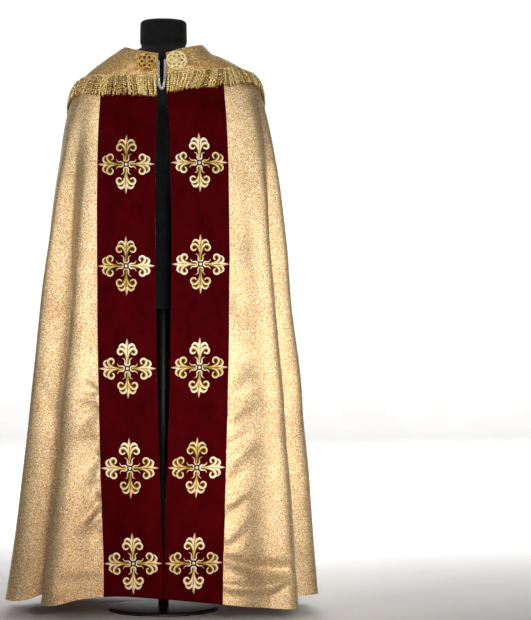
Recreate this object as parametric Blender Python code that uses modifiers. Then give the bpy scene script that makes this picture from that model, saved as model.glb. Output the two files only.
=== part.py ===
"""Gold cope with velvet orphreys and a fringed hood, worn by a limbless dress form on a round stand.

Run with: blender --background --python part.py (Blender 4.5, metres, +Z up).
The origin is under the centre of the stand, at floor height. The front of the cope faces -Y.

Every piece of cloth is made from one surface, surface_point(turn, down, lift):
  turn  degrees round the body from the front centre, by the -X side (90), the back (180), the +X side (270)
  down  0 at the neckline, 1 at the hem
  lift  distance out from the mantle's outer face
"""

import math

import bmesh
import bpy
import numpy as np

# --- cloth and gaps -------------------------------------------------------------------------------
CLOTH = 0.0020  # thickness of the mantle, the hood and the orphreys
SEAM = 0.0003  # gap between pieces that touch
HOOD_LIFT = 0.0008  # the hood lies this far off the mantle
EMBROIDERY = 0.0010  # thickness of an embroidered cross

# --- the mantle's cross-sections: heights of the cloth and distances from the centre line ---------
SECTION_COLUMNS = ("down", "front_z", "left_z", "back_z", "right_z", "front", "left", "back", "right")
SECTIONS = np.array(
    (
        (0.00, 1.486, 1.510, 1.556, 1.515, 0.097, 0.104, 0.083, 0.104),
        (0.02, 1.468, 1.493, 1.537, 1.492, 0.105, 0.127, 0.098, 0.127),
        (0.04, 1.450, 1.479, 1.518, 1.483, 0.112, 0.150, 0.112, 0.155),
        (0.08, 1.410, 1.435, 1.469, 1.453, 0.122, 0.206, 0.133, 0.213),
        (0.11, 1.372, 1.399, 1.425, 1.423, 0.129, 0.239, 0.146, 0.253),
        (0.14, 1.330, 1.350, 1.372, 1.366, 0.135, 0.254, 0.155, 0.269),
        (0.25, 1.180, 1.195, 1.205, 1.200, 0.150, 0.283, 0.175, 0.302),
        (0.40, 0.985, 0.990, 1.000, 0.990, 0.170, 0.309, 0.198, 0.318),
        (0.55, 0.770, 0.772, 0.785, 0.772, 0.194, 0.328, 0.223, 0.335),
        (0.70, 0.545, 0.545, 0.560, 0.545, 0.219, 0.352, 0.251, 0.356),
        (0.85, 0.300, 0.297, 0.320, 0.297, 0.246, 0.376, 0.280, 0.376),
        (1.00, 0.055, 0.040, 0.070, 0.040, 0.270, 0.411, 0.306, 0.394),
    )
)
FULLNESS = 0.10  # how much squarer than an ellipse a section is between its front and its sides

# height of the hem round the body; the sides dip and the back centre is lifted
HEM_COLUMNS = ("turn", "height")
HEM = np.array(
    (
        (0, 0.062),
        (20, 0.068),
        (30, 0.060),
        (41, 0.042),
        (50, 0.046),
        (56, 0.058),
        (64, 0.041),
        (72, 0.041),
        (80, 0.046),
        (92, 0.050),
        (105, 0.044),
        (122, 0.034),
        (138, 0.020),
        (153, 0.036),
        (167, 0.072),
        (180, 0.086),
        (195, 0.070),
        (211, 0.036),
        (225, 0.022),
        (239, 0.036),
        (255, 0.046),
        (270, 0.048),
        (286, 0.045),
        (296, 0.041),
        (300, 0.030),
        (305, 0.025),
        (322, 0.033),
        (338, 0.046),
        (360, 0.062),
    )
)
HEM_FROM = 0.70  # down, where the sections start to follow the hem

# height of the neckline: low at the front opening, a standing curve behind the neck
NECKLINE_COLUMNS = ("turn", "height")
NECKLINE = np.array(
    (
        (0, 1.485),
        (23, 1.491),
        (35, 1.495),
        (60, 1.506),
        (90, 1.513),
        (118, 1.512),
        (143, 1.518),
        (155, 1.532),
        (168, 1.549),
        (180, 1.555),
        (192, 1.549),
        (205, 1.532),
        (217, 1.519),
        (242, 1.516),
        (270, 1.520),
        (300, 1.514),
        (323, 1.506),
        (340, 1.498),
        (360, 1.486),
    )
)
NECK_UNTIL = 0.06  # down, where the sections no longer follow the neckline

# --- folds: valleys pressed into the sections, each with a softer swell on both sides -------------
FOLD_COLUMNS = ("turn_at_top", "turn_at_hem", "from_down", "full_down", "half_width", "depth")
FOLDS = {
    "left_front_valley": (53.0, 56.5, 0.08, 0.60, 7.0, 0.046),
    "left_side_fold": (93.0, 97.0, 0.30, 1.00, 9.0, 0.020),
    "left_back_valley": (121.0, 122.0, 0.14, 0.85, 7.5, 0.040),
    "back_left_flute": (158.0, 157.0, 0.62, 1.05, 6.0, 0.014),
    "back_left_ripple": (172.0, 171.5, 0.70, 1.05, 4.5, 0.010),
    "back_middle_valley": (192.0, 193.0, 0.24, 0.90, 8.0, 0.022),
    "back_right_flute": (213.0, 214.0, 0.60, 1.05, 6.5, 0.014),
    "right_back_valley": (240.0, 239.0, 0.13, 0.85, 7.5, 0.042),
    "right_side_fold": (268.0, 266.0, 0.35, 1.00, 8.0, 0.018),
    "right_front_valley": (292.5, 293.0, 0.06, 0.62, 6.5, 0.058),
    "right_front_flute": (322.0, 320.0, 0.66, 1.05, 6.5, 0.012),
}
SWELL = 0.35  # height of the swells beside a valley, as a share of its depth

# --- the open front: x of the two front edges, which meet near the hem ----------------------------
OPENING_COLUMNS = ("down", "left_x", "right_x")
OPENING = np.array(
    (
        (0.00, -0.0140, 0.0065),
        (0.10, -0.0155, 0.0095),
        (0.18, -0.0200, 0.0160),
        (0.30, -0.0220, 0.0195),
        (0.48, -0.0205, 0.0200),
        (0.64, -0.0170, 0.0165),
        (0.76, -0.0120, 0.0110),
        (0.88, -0.0060, 0.0050),
        (0.95, -0.0015, 0.0015),
        (1.00, -0.0012, 0.0012),
    )
)

# --- trims ----------------------------------------------------------------------------------------
ORPHREY_WIDTH = 0.153
ORPHREY_TOP = 0.090  # down, just under the header of the fringe
PANEL_WIDTH = 0.154  # velvet panel of the hood
NECK_BAND_SHARE = 0.35  # at the neckline the front bands' grid lines draw in to this share
BANDS_FULL = 0.075  # down, where those grid lines have the full width

# the hood's lower edge: straight across the front, falling to a point at the back
HOOD_EDGE_COLUMNS = ("turn", "height")
HOOD_EDGE = np.array(
    (
        (0, 1.428),
        (40, 1.430),
        (75, 1.427),
        (93, 1.412),
        (108, 1.390),
        (122, 1.365),
        (140, 1.330),
        (162, 1.276),
        (180, 1.235),
        (198, 1.276),
        (220, 1.335),
        (238, 1.372),
        (252, 1.407),
        (267, 1.434),
        (285, 1.451),
        (320, 1.446),
        (360, 1.436),
    )
)

# --- the grid shared by everything that lies on the mantle ----------------------------------------
BAND_CELLS = 4
SIDE_CELLS = 24
PANEL_CELLS = 6
ROWS = (0.0, 0.025, 0.05, 0.075, 0.09, 0.115, 0.14, 0.18, 0.24, 0.32, 0.42, 0.53, 0.65, 0.77, 0.88, 0.95, 1.0)
NEAREST_ROWS = 0.004  # a row closer than this to a piece's top edge is left out of it

# --- fringe ---------------------------------------------------------------------------------------
FRINGE_STRANDS = 76  # on each half of the hood
FRINGE_LENGTH = 0.058
FRINGE_HEADER = 0.008  # height of the woven strip that the strands grow from
FRINGE_THICK = 0.0032
HEADER_LIFT = 0.0014  # the header and the strands hang this far off the mantle
STRAND_LIFT = 0.0040
FRINGE_UNEVEN = 0.004  # the strands' lengths differ by up to this much
HANG_SQUARE = 0.55  # share of the hanging direction that is square to the hood's edge; the rest is plumb
TIP_TURNS = 12.0  # within this turn of the hood's point the strands hang plumb
STRAND_RING_COLUMNS = ("share of length", "width", "thickness")
STRAND_RINGS = ((0.35, 0.80, 1.0), (1.0, 0.60, 0.75))
STRAND_LEAN = 0.3  # a strand leans sideways by up to this share of its half width

# --- crosses: height of each centre on the front bands --------------------------------------------
CROSS_HALF_WIDTH = 0.0745
CROSS_HALF_HEIGHT = 0.0780
CROSS_HEIGHTS = {
    "left": (1.190, 0.922, 0.654, 0.397, 0.153),
    "right": (1.195, 0.927, 0.657, 0.398, 0.153),
}
HOOD_CROSS_HEIGHT = 1.413

# half of one arm, from the centre outwards: sideways and outwards, as shares of the cross's half width
ARM_COLUMNS = ("sideways", "outwards")
ARM = (
    (0.045, 0.045),
    (0.050, 0.400),
    (0.210, 0.360),
    (0.350, 0.460),
    (0.300, 0.605),
    (0.095, 0.610),
    (0.150, 0.730),
)
ARM_TIP = 1.0
FOLD_REACH = 0.95  # facet lines further out than this share of a cross are left out of it

# --- clasps and chain -----------------------------------------------------------------------------
CLASP_RADIUS = 0.0280
CLASP_THICK = 0.0045
CLASP_PETALS = 12
CLASP_PLACES = {"left": (-0.0436, 1.463), "right": (0.0345, 1.467)}  # x and height

# rings of a clasp from its rim to its middle: radius and height as shares, and how deep each petal's notch is
CLASP_RING_COLUMNS = ("radius", "rise", "notch")
CLASP_RINGS = (
    (1.00, 0.00, 0.06),
    (1.00, 0.45, 0.06),
    (0.72, 1.00, 0.05),
    (0.42, 0.55, 0.00),
    (0.26, 1.15, 0.00),
)
CHAIN_DROP = 0.075
CHAIN_WIRE = 0.0011
CHAIN_BEAD = 0.0024
CHAIN_PITCH = 0.0100
CHAIN_SIDES = 6
CHAIN_LIFT = 4 * SEAM  # the chain's beads start this far off the hood
CHAIN_POINTS = 61  # points on the chain's route
CHAIN_BELLY = 0.06  # the U is this share wider below the clasps than between them
U_CORNERS = 5.0  # powers that shape the U: how square its lower corners are,
U_SIDES = 2.2  # how long its sides stay upright,
U_BOTTOM = 0.8  # and how flat its bottom is
FORWARD_FIRST = 1.3  # the chain has come forward before it has fallen all the way

# --- dress form and stand -------------------------------------------------------------------------
FORM_SEAT_COLUMNS = ("down", "clearance")  # rows of the mantle and their distance to the shoulders under them
FORM_SEAT = ((0.05, 0.0030), (0.075, 0.0014), (0.09, 0.0006), (0.115, 0.0030))
FORM_COLUMNS = ("height", "half_width", "front", "back")
FORM_BODY = (
    (1.320, 0.200, 0.110, 0.118),
    (1.220, 0.186, 0.118, 0.112),
    (1.060, 0.160, 0.106, 0.094),
    (0.930, 0.172, 0.108, 0.100),
    (0.830, 0.180, 0.106, 0.106),
    (0.812, 0.172, 0.098, 0.098),
)
NECK_COLUMNS = ("height", "half_width", "front", "back")
FORM_NECK = (
    (1.5880, 0.0400, 0.0400, 0.0400),
    (1.5870, 0.0530, 0.0530, 0.0530),
    (1.5825, 0.0600, 0.0600, 0.0600),
    (1.5740, 0.0625, 0.0625, 0.0625),
    (1.5300, 0.0635, 0.0635, 0.0635),
    (1.5080, 0.0670, 0.0670, 0.0670),
)
POLE_RADIUS = 0.014
POLE_SIDES = 24
BASE_RADIUS = 0.150
BASE_HEIGHT = 0.009
BASE_SIDES = 32



# --- smooth tables --------------------------------------------------------------------------------
SMOOTH_SAMPLES = 2001  # how finely a table's curve is read


def smooth_column(table, columns, name):
    """The named column of a table as a smooth curve through its rows, finely sampled."""
    x = table[:, 0]
    y = table[:, columns.index(name)]
    slope = np.gradient(y, x)
    where = np.linspace(x[0], x[-1], SMOOTH_SAMPLES)
    i = np.clip(np.searchsorted(x, where, side="right") - 1, 0, len(x) - 2)
    step = x[i + 1] - x[i]
    t = (where - x[i]) / step
    curve = (
        (1 + 2 * t) * (1 - t) ** 2 * y[i]
        + t * (1 - t) ** 2 * step * slope[i]
        + t * t * (3 - 2 * t) * y[i + 1]
        + t * t * (t - 1) * step * slope[i + 1]
    )
    return where, curve


SMOOTH_SECTIONS = {name: smooth_column(SECTIONS, SECTION_COLUMNS, name) for name in SECTION_COLUMNS[1:]}
SMOOTH_OPENING = {name: smooth_column(OPENING, OPENING_COLUMNS, name) for name in OPENING_COLUMNS[1:]}
SMOOTH_HEM = smooth_column(HEM, HEM_COLUMNS, "height")
SMOOTH_NECKLINE = smooth_column(NECKLINE, NECKLINE_COLUMNS, "height")
SMOOTH_HOOD_EDGE = smooth_column(HOOD_EDGE, HOOD_EDGE_COLUMNS, "height")


def section(name, down):
    return np.interp(down, *SMOOTH_SECTIONS[name])


def ease(x):
    x = np.clip(x, 0.0, 1.0)
    return x * x * (3 - 2 * x)


# --- the cloth's surface --------------------------------------------------------------------------
def fold_offset(turn, down):
    """How far the folds move the cloth in (negative) or out."""
    total = np.zeros(np.broadcast(turn, down).shape)
    for top, hem, start, full, half_width, depth in FOLDS.values():
        away = (turn - (top + (hem - top) * down)) / half_width
        grown = ease((down - start) / (full - start))
        total += depth * grown * (SWELL * np.exp(-((np.abs(away) - 2.0) ** 2)) - np.exp(-(away**2)))
    return total


def level_height(on_left, at_front, sine, cosine, down):
    """Height of a section between its heights at the front or the back and at the side."""
    side_z = np.where(on_left, section("left_z", down), section("right_z", down))
    end_z = np.where(at_front, section("front_z", down), section("back_z", down))
    return end_z * cosine**2 + side_z * sine**2


def unfolded_point(turn, down):
    """The cloth before its folds are pressed in."""
    angle = np.radians(turn)
    sine, cosine = np.sin(angle), np.cos(angle)
    on_left = sine >= 0
    at_front = cosine >= 0
    half = np.where(on_left, section("left", down), section("right", down))
    depth = np.where(at_front, section("front", down), section("back", down))
    around = np.mod(turn, 360.0)
    hem_pull = ease((down - HEM_FROM) / (1 - HEM_FROM))
    hem_shift = np.interp(around, *SMOOTH_HEM) - level_height(on_left, at_front, sine, cosine, 1.0)
    neck_pull = 1 - ease(down / NECK_UNTIL)
    neck_shift = np.interp(around, *SMOOTH_NECKLINE) - level_height(on_left, at_front, sine, cosine, 0.0)
    fuller = 1 + FULLNESS * np.sin(2 * angle) ** 2
    x = -half * sine * fuller**0.5
    y = -depth * cosine * fuller
    z = level_height(on_left, at_front, sine, cosine, down)
    return np.stack([x, y, z + hem_pull * hem_shift + neck_pull * neck_shift], axis=-1)


def cross_normal(point, turn, down):
    """The outward direction of a surface function at turn and down."""
    by_turn = point(turn + 0.25, down) - point(turn - 0.25, down)
    by_down = point(turn, np.minimum(down + 0.003, 1.0)) - point(turn, np.maximum(down - 0.003, 0.0))
    normal = np.cross(by_turn, by_down)
    return normal / np.linalg.norm(normal, axis=-1, keepdims=True)


def folded_point(turn, down):
    """The mantle's outer face: folds are pressed in along the level normal of the plain section."""
    plain = unfolded_point(turn, down)
    outward = cross_normal(unfolded_point, turn, down)
    outward[..., 2] = 0.0
    outward /= np.linalg.norm(outward, axis=-1, keepdims=True)
    return plain + outward * fold_offset(turn, down)[..., None]


def surface_point(turn, down, lift=0.0):
    turn, down = np.broadcast_arrays(np.asarray(turn, float), np.asarray(down, float))
    point = folded_point(turn, down)
    return point + cross_normal(folded_point, turn, down) * np.asarray(lift)[..., None]


def edge_turn(side, down):
    """The turn at which the front edge of a side lies."""
    x = np.interp(down, *SMOOTH_OPENING[side + "_x"])
    turn = np.degrees(np.arcsin(-x / section(side, down)))
    return turn if side == "left" else 360.0 + turn


def down_at_height(turn, height):
    """Where the surface passes a height, on the line of a turn."""
    low, high = np.zeros_like(np.asarray(turn, float)), np.ones_like(np.asarray(turn, float))
    for _ in range(30):
        middle = (low + high) / 2
        above = unfolded_point(turn, middle)[..., 2] > height
        low, high = np.where(above, middle, low), np.where(above, high, middle)
    return (low + high) / 2


LENGTH_TURNS = np.linspace(0.0, 360.0, 721)
LENGTH_DOWNS = np.linspace(0.0, 1.0, 51)


def measure_lengths():
    """Running length round the folded cloth, from the front centre, for every LENGTH_DOWNS row."""
    turns, downs = np.meshgrid(LENGTH_TURNS, LENGTH_DOWNS)
    steps = np.linalg.norm(np.diff(folded_point(turns, downs), axis=1), axis=2)
    return np.concatenate([np.zeros((len(LENGTH_DOWNS), 1)), np.cumsum(steps, axis=1)], axis=1)


LENGTHS = measure_lengths()


def girth(down):
    """Turns and running length round the section at one height."""
    place = np.clip(down, 0.0, 1.0) * (len(LENGTH_DOWNS) - 1)
    row = min(int(place), len(LENGTH_DOWNS) - 2)
    share = place - row
    return LENGTH_TURNS, (1 - share) * LENGTHS[row] + share * LENGTHS[row + 1]


def row_turns(down):
    """The grid's turns on one row: front band, side, back panel, side, front band."""
    turns, lengths = girth(down)
    share = NECK_BAND_SHARE + (1 - NECK_BAND_SHARE) * ease(down / BANDS_FULL)
    band = ORPHREY_WIDTH * share
    start = np.interp(edge_turn("left", down), turns, lengths)
    end = np.interp(edge_turn("right", down), turns, lengths)
    back = np.interp(180.0, turns, lengths)
    marks = (
        (start, start + band, BAND_CELLS),
        (start + band, back - PANEL_WIDTH / 2, SIDE_CELLS),
        (back - PANEL_WIDTH / 2, back + PANEL_WIDTH / 2, PANEL_CELLS),
        (back + PANEL_WIDTH / 2, end - band, SIDE_CELLS),
        (end - band, end, BAND_CELLS),
    )
    places = [marks[0][0]]
    for first, last, cells in marks:
        places += list(np.linspace(first, last, cells + 1)[1:])
    return np.interp(places, lengths, turns)


GRID_TURNS = np.array([row_turns(down) for down in ROWS])
PANEL_FIRST = BAND_CELLS + SIDE_CELLS
PANEL_LAST = PANEL_FIRST + PANEL_CELLS
GRID_COLUMNS = GRID_TURNS.shape[1]


def column_turn(column, down):
    """The turn of one grid column at any height between the rows."""
    return np.interp(down, ROWS, GRID_TURNS[:, column])


# --- objects --------------------------------------------------------------------------------------
def clear_scene():
    for thing in list(bpy.data.objects):
        bpy.data.objects.remove(thing, do_unlink=True)


def material(name, colour, roughness, metallic):
    made = bpy.data.materials.get(name)
    if made is None:
        made = bpy.data.materials.new(name)
        made.use_nodes = True
        shader = made.node_tree.nodes["Principled BSDF"]
        shader.inputs["Base Color"].default_value = (*colour, 1.0)
        shader.inputs["Roughness"].default_value = roughness
        shader.inputs["Metallic"].default_value = metallic
    return made


def gold_cloth():
    return material("gold_lame", (0.62, 0.46, 0.22), 0.45, 0.6)


def velvet():
    return material("crimson_velvet", (0.075, 0.004, 0.006), 0.9, 0.0)


def bullion():
    return material("gold_bullion", (0.42, 0.27, 0.09), 0.5, 0.5)


def embroidery():
    return material("gold_embroidery", (0.72, 0.60, 0.24), 0.4, 0.5)


def clasp_metal():
    return material("clasp_gold", (0.70, 0.52, 0.20), 0.3, 1.0)


def chain_metal():
    return material("chain_metal", (0.72, 0.70, 0.66), 0.25, 1.0)


def form_cloth():
    return material("form_black", (0.010, 0.010, 0.012), 0.85, 0.0)


def stand_metal():
    return material("stand_black", (0.02, 0.02, 0.022), 0.4, 0.3)


def add_object(name, mesh, surface, collection, flat=False):
    made = bpy.data.objects.new(name, mesh)
    mesh.materials.clear()
    mesh.materials.append(surface)
    if not flat:
        mesh.shade_smooth()
    collection.objects.link(made)
    return made


def thicken(sheet, outwards):
    """Gives an open sheet its cloth thickness, on the outer or the inner side."""
    solid = sheet.modifiers.new("cloth", "SOLIDIFY")
    solid.thickness = CLOTH
    solid.offset = 1.0 if outwards else -1.0
    solid.use_even_offset = True
    return sheet


def grid_mesh(name, grid):
    """A mesh over a grid of points, facing outwards; cells that have shrunk to nothing are dropped."""
    rows, columns = grid.shape[:2]
    index = np.arange(rows * columns).reshape(rows, columns)
    faces = [
        (index[r, c], index[r + 1, c], index[r + 1, c + 1], index[r, c + 1])
        for r in range(rows - 1)
        for c in range(columns - 1)
    ]
    outward_faces = [tuple(int(i) for i in reversed(face)) for face in faces]
    mesh = bpy.data.meshes.new(name)
    mesh.from_pydata([tuple(map(float, p)) for p in grid.reshape(-1, 3)], [], outward_faces)
    shape = bmesh.new()
    shape.from_mesh(mesh)
    bmesh.ops.remove_doubles(shape, verts=shape.verts, dist=1e-5)
    bmesh.ops.dissolve_degenerate(shape, edges=shape.edges, dist=1e-6)
    shape.to_mesh(mesh)
    shape.free()
    return mesh


def grid_points(columns, first_down, last_downs, lift, trims=(0.0, 0.0)):
    """Points over the shared grid, between first_down and a last down for each column.

    trims move the first and the last column inwards along the section, to leave a seam.
    """
    inner_rows = [down for down in ROWS if down > first_down + NEAREST_ROWS]
    downs = [first_down] + inner_rows
    points = np.zeros((len(downs), len(columns), 3))
    for r, down in enumerate(downs):
        here = np.minimum(down, last_downs)
        turns = np.array([column_turn(c, d) for c, d in zip(columns, here)])
        turns[0] += trims[0] / section("back", here[0]) * 180 / math.pi
        turns[-1] -= trims[1] / section("back", here[-1]) * 180 / math.pi
        points[r] = surface_point(turns, here, lift)
    return points


def hood_edge_down(turn):
    height = np.interp(turn, *SMOOTH_HOOD_EDGE)
    return down_at_height(turn, height)


def column_edge_downs():
    """Down of the hood's edge on each grid column, whose turn changes a little with down."""
    downs = np.full(GRID_COLUMNS, 0.1)
    for _ in range(12):
        turns = np.array([column_turn(c, down) for c, down in enumerate(downs)])
        downs = hood_edge_down(turns)
    return downs


def build_mantle(collection):
    columns = range(GRID_COLUMNS)
    grid = grid_points(columns, 0.0, np.ones(GRID_COLUMNS), 0.0)
    thicken(add_object("mantle", grid_mesh("mantle", grid), gold_cloth(), collection), False)


def build_orphreys(collection):
    bands = {"left": range(0, BAND_CELLS + 1), "right": range(GRID_COLUMNS - BAND_CELLS - 1, GRID_COLUMNS)}
    for side, columns in bands.items():
        grid = grid_points(columns, ORPHREY_TOP, np.ones(len(columns)), SEAM)
        name = "orphrey_" + side
        thicken(add_object(name, grid_mesh(name, grid), velvet(), collection), True)


def build_hood(collection):
    edges = column_edge_downs()
    half_seam = SEAM / 2
    pieces = (
        ("hood_left", range(0, PANEL_FIRST + 1), (0.0, half_seam), gold_cloth()),
        ("hood_panel", range(PANEL_FIRST, PANEL_LAST + 1), (half_seam, half_seam), velvet()),
        ("hood_right", range(PANEL_LAST, GRID_COLUMNS), (half_seam, 0.0), gold_cloth()),
    )
    for name, columns, trims, surface in pieces:
        grid = grid_points(columns, 0.0, edges[list(columns)], HOOD_LIFT, trims)
        thicken(add_object(name, grid_mesh(name, grid), surface, collection), True)


# --- fringe ---------------------------------------------------------------------------------------
SLIDE_STEPS = 8  # steps in which a way over the cloth is measured


def slide(turn, down, direction, length):
    """Turn and down after going a length over the surface, in a direction of space."""
    origin = folded_point(turn, down)
    by_turn = (folded_point(turn + 0.5, down) - origin) / 0.5
    by_down = (folded_point(turn, down + 0.002) - origin) / 0.002
    basis = np.stack([by_turn, by_down], axis=-1)
    steps = np.einsum("nij,nj->ni", np.linalg.pinv(basis), direction)
    moved = np.einsum("nij,nj->ni", basis, steps)
    scale = length / np.linalg.norm(moved, axis=1)
    run = np.linspace(0.0, 1.0, SLIDE_STEPS + 1)[:, None]
    path = folded_point(turn + steps[:, 0] * scale * run, down + steps[:, 1] * scale * run)
    scale *= length / np.linalg.norm(np.diff(path, axis=0), axis=2).sum(axis=0)
    return turn + steps[:, 0] * scale, down + steps[:, 1] * scale


EDGE_SAMPLES = 600  # how finely the hood's edge is measured


def fringe_path(side):
    """Turn, down and hanging direction at even steps along half of the hood's edge."""
    front = float(edge_turn(side, NECK_UNTIL))
    fine = np.linspace(front, 180.0, EDGE_SAMPLES)
    if side == "right":
        fine = fine[::-1]
    downs = hood_edge_down(fine)
    points = folded_point(fine, downs)
    lengths = np.concatenate([[0.0], np.cumsum(np.linalg.norm(np.diff(points, axis=0), axis=1))])
    places = np.linspace(SEAM, lengths[-1] - SEAM, FRINGE_STRANDS + 1)
    turns = np.interp(places, lengths, fine)
    downs = hood_edge_down(turns)
    ahead = folded_point(turns + 0.3, hood_edge_down(turns + 0.3))
    behind = folded_point(turns - 0.3, hood_edge_down(turns - 0.3))
    along = (ahead - behind) / np.linalg.norm(ahead - behind, axis=1, keepdims=True)
    across = np.cross(cross_normal(folded_point, turns, downs), along)
    across *= np.sign(-across[:, 2:3])
    plumb = np.array([0.0, 0.0, -1.0])
    at_tip = np.abs(turns - 180.0) < TIP_TURNS
    return turns, downs, np.where(at_tip[:, None], plumb, HANG_SQUARE * across + (1 - HANG_SQUARE) * plumb)


def strand_rings(side, turns, downs, hanging):
    """Two rings of four corners for each strand: one a third of the way down, one at its tip."""
    dice = np.random.default_rng(7 if side == "left" else 11)
    count = len(turns) - 1
    middle_turn, middle_down = (turns[1:] + turns[:-1]) / 2, (downs[1:] + downs[:-1]) / 2
    half_turn, half_down = (turns[1:] - turns[:-1]) / 2, (downs[1:] - downs[:-1]) / 2
    way = (hanging[1:] + hanging[:-1]) / 2
    length = FRINGE_LENGTH - FRINGE_HEADER + dice.uniform(-1.0, 0.5, count) * FRINGE_UNEVEN
    lean = dice.uniform(-STRAND_LEAN, STRAND_LEAN, count)
    rings = []
    for share, width, thick in STRAND_RINGS:
        at_turn, at_down = slide(middle_turn, middle_down, way, length * share)
        corners = []
        for sign, lift in ((-1, 0.0), (-1, thick), (1, thick), (1, 0.0)):
            turn = at_turn + (lean * share + sign * width) * half_turn
            down = at_down + sign * width * half_down
            corners.append(surface_point(turn, down, np.full(count, STRAND_LIFT + lift * FRINGE_THICK)))
        rings.append(np.stack(corners, axis=1))
    return rings


def build_fringe(side, collection):
    """A woven header with a row of tapering strands under it, as one closed body."""
    turns, downs, hanging = fringe_path(side)
    near, far = HEADER_LIFT, HEADER_LIFT + FRINGE_THICK
    top = slide(turns, downs, hanging, SEAM * 2)
    low = slide(turns, downs, hanging, FRINGE_HEADER)
    rings = strand_rings(side, *low, hanging)
    shape = bmesh.new()
    top_in, top_out, low_in, low_out = (
        [shape.verts.new(p) for p in surface_point(*place, np.full(len(turns), lift))]
        for place, lift in ((top, near), (top, far), (low, near), (low, far))
    )
    shape.faces.new((top_in[0], low_in[0], low_out[0], top_out[0]))
    shape.faces.new((top_out[-1], low_out[-1], low_in[-1], top_in[-1]))
    for i in range(len(turns) - 1):
        j = i + 1
        shape.faces.new((top_out[i], low_out[i], low_out[j], top_out[j]))
        shape.faces.new((top_in[j], low_in[j], low_in[i], top_in[i]))
        shape.faces.new((top_in[i], top_out[i], top_out[j], top_in[j]))
        ring = [low_in[i], low_out[i], low_out[j], low_in[j]]
        for corners in rings:
            fresh = [shape.verts.new(p) for p in corners[i]]
            for k in range(4):
                shape.faces.new((ring[k], fresh[k], fresh[(k + 1) % 4], ring[(k + 1) % 4]))
            ring = fresh
        shape.faces.new(ring)
    bmesh.ops.recalc_face_normals(shape, faces=shape.faces)
    mesh = bpy.data.meshes.new("fringe_" + side)
    shape.to_mesh(mesh)
    shape.free()
    add_object(mesh.name, mesh, bullion(), collection, flat=True)


# --- crosses --------------------------------------------------------------------------------------
def cross_outline():
    """The outline of a cross fleury: one half arm, mirrored and turned four times."""
    arm = [(-s, o) for s, o in reversed(ARM[1:])]
    arm = [(s, o) for s, o in ARM] + [(0.0, ARM_TIP)] + arm
    outline = []
    for quarter in range(4):
        c, s = math.cos(quarter * math.pi / 2), math.sin(quarter * math.pi / 2)
        turned = [(x * c - y * s, x * s + y * c) for x, y in arm]
        outline += [(x * CROSS_HALF_WIDTH, y * CROSS_HALF_HEIGHT) for x, y in turned]
    return outline


def flat_cross(upright_folds, level_folds):
    """A thin flat cross, with points along the lines where the cloth's facets meet."""
    curve = bpy.data.curves.new("cross_outline", "CURVE")
    curve.dimensions = "2D"
    curve.fill_mode = "BOTH"
    curve.extrude = EMBROIDERY / 2
    spline = curve.splines.new("POLY")
    outline = cross_outline()
    spline.points.add(len(outline) - 1)
    for point, (x, y) in zip(spline.points, outline):
        point.co = (x, y, 0.0, 1.0)
    spline.use_cyclic_u = True
    holder = bpy.data.objects.new("cross_outline", curve)
    bpy.context.scene.collection.objects.link(holder)
    mesh = bpy.data.meshes.new_from_object(holder.evaluated_get(bpy.context.evaluated_depsgraph_get()))
    bpy.data.objects.remove(holder, do_unlink=True)
    shape = bmesh.new()
    shape.from_mesh(mesh)
    bmesh.ops.remove_doubles(shape, verts=shape.verts, dist=1e-5)
    cuts = [((x, 0, 0), (1, 0, 0)) for x in upright_folds] + [((0, y, 0), (0, 1, 0)) for y in level_folds]
    for place, across in cuts:
        everything = shape.verts[:] + shape.edges[:] + shape.faces[:]
        bmesh.ops.bisect_plane(shape, geom=everything, plane_co=place, plane_no=across, dist=1e-6)
    bmesh.ops.triangulate(shape, faces=shape.faces)
    shape.to_mesh(mesh)
    shape.free()
    return mesh


def build_cross(name, first_column, cell_width, middle, height, lift, collection):
    """A cross laid on the facets of the cloth under it.

    middle is the distance of its centre from the grid column first_column, along the section.
    """
    columns = range(first_column, min(first_column + PANEL_CELLS + 1, GRID_COLUMNS))
    rows = np.array(ROWS)
    net = {
        depth: np.stack([surface_point(GRID_TURNS[:, c], rows, depth) for c in columns], axis=1)
        for depth in (lift, lift + EMBROIDERY)
    }
    base = net[lift]
    middle_line = np.array([np.interp(middle / cell_width, range(len(columns)), row) for row in base[..., 2]])
    level_folds = [z - height for z in middle_line if abs(z - height) < FOLD_REACH * CROSS_HALF_HEIGHT]
    upright_folds = [k * cell_width - middle for k in range(len(columns))]
    upright_folds = [x for x in upright_folds if abs(x) < FOLD_REACH * CROSS_HALF_WIDTH]
    mesh = flat_cross(upright_folds, level_folds)
    mesh.name = name
    for vertex in mesh.vertices:
        x, y, z = vertex.co
        place = (middle + x) / cell_width
        cell = min(max(int(place), 0), len(columns) - 2)
        share = place - cell
        line = (1 - share) * base[:, cell] + share * base[:, cell + 1]
        row_place = np.interp(-(height + y), -line[:, 2], np.arange(len(rows)))
        row = min(int(row_place), len(rows) - 2)
        step = row_place - row
        face = net[lift if z < 0 else lift + EMBROIDERY]
        line = (1 - share) * face[row : row + 2, cell] + share * face[row : row + 2, cell + 1]
        vertex.co = tuple((1 - step) * line[0] + step * line[1])
    shape = bmesh.new()
    shape.from_mesh(mesh)
    bmesh.ops.recalc_face_normals(shape, faces=shape.faces)
    shape.to_mesh(mesh)
    shape.free()
    add_object(name, mesh, embroidery(), collection, flat=True)


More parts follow.
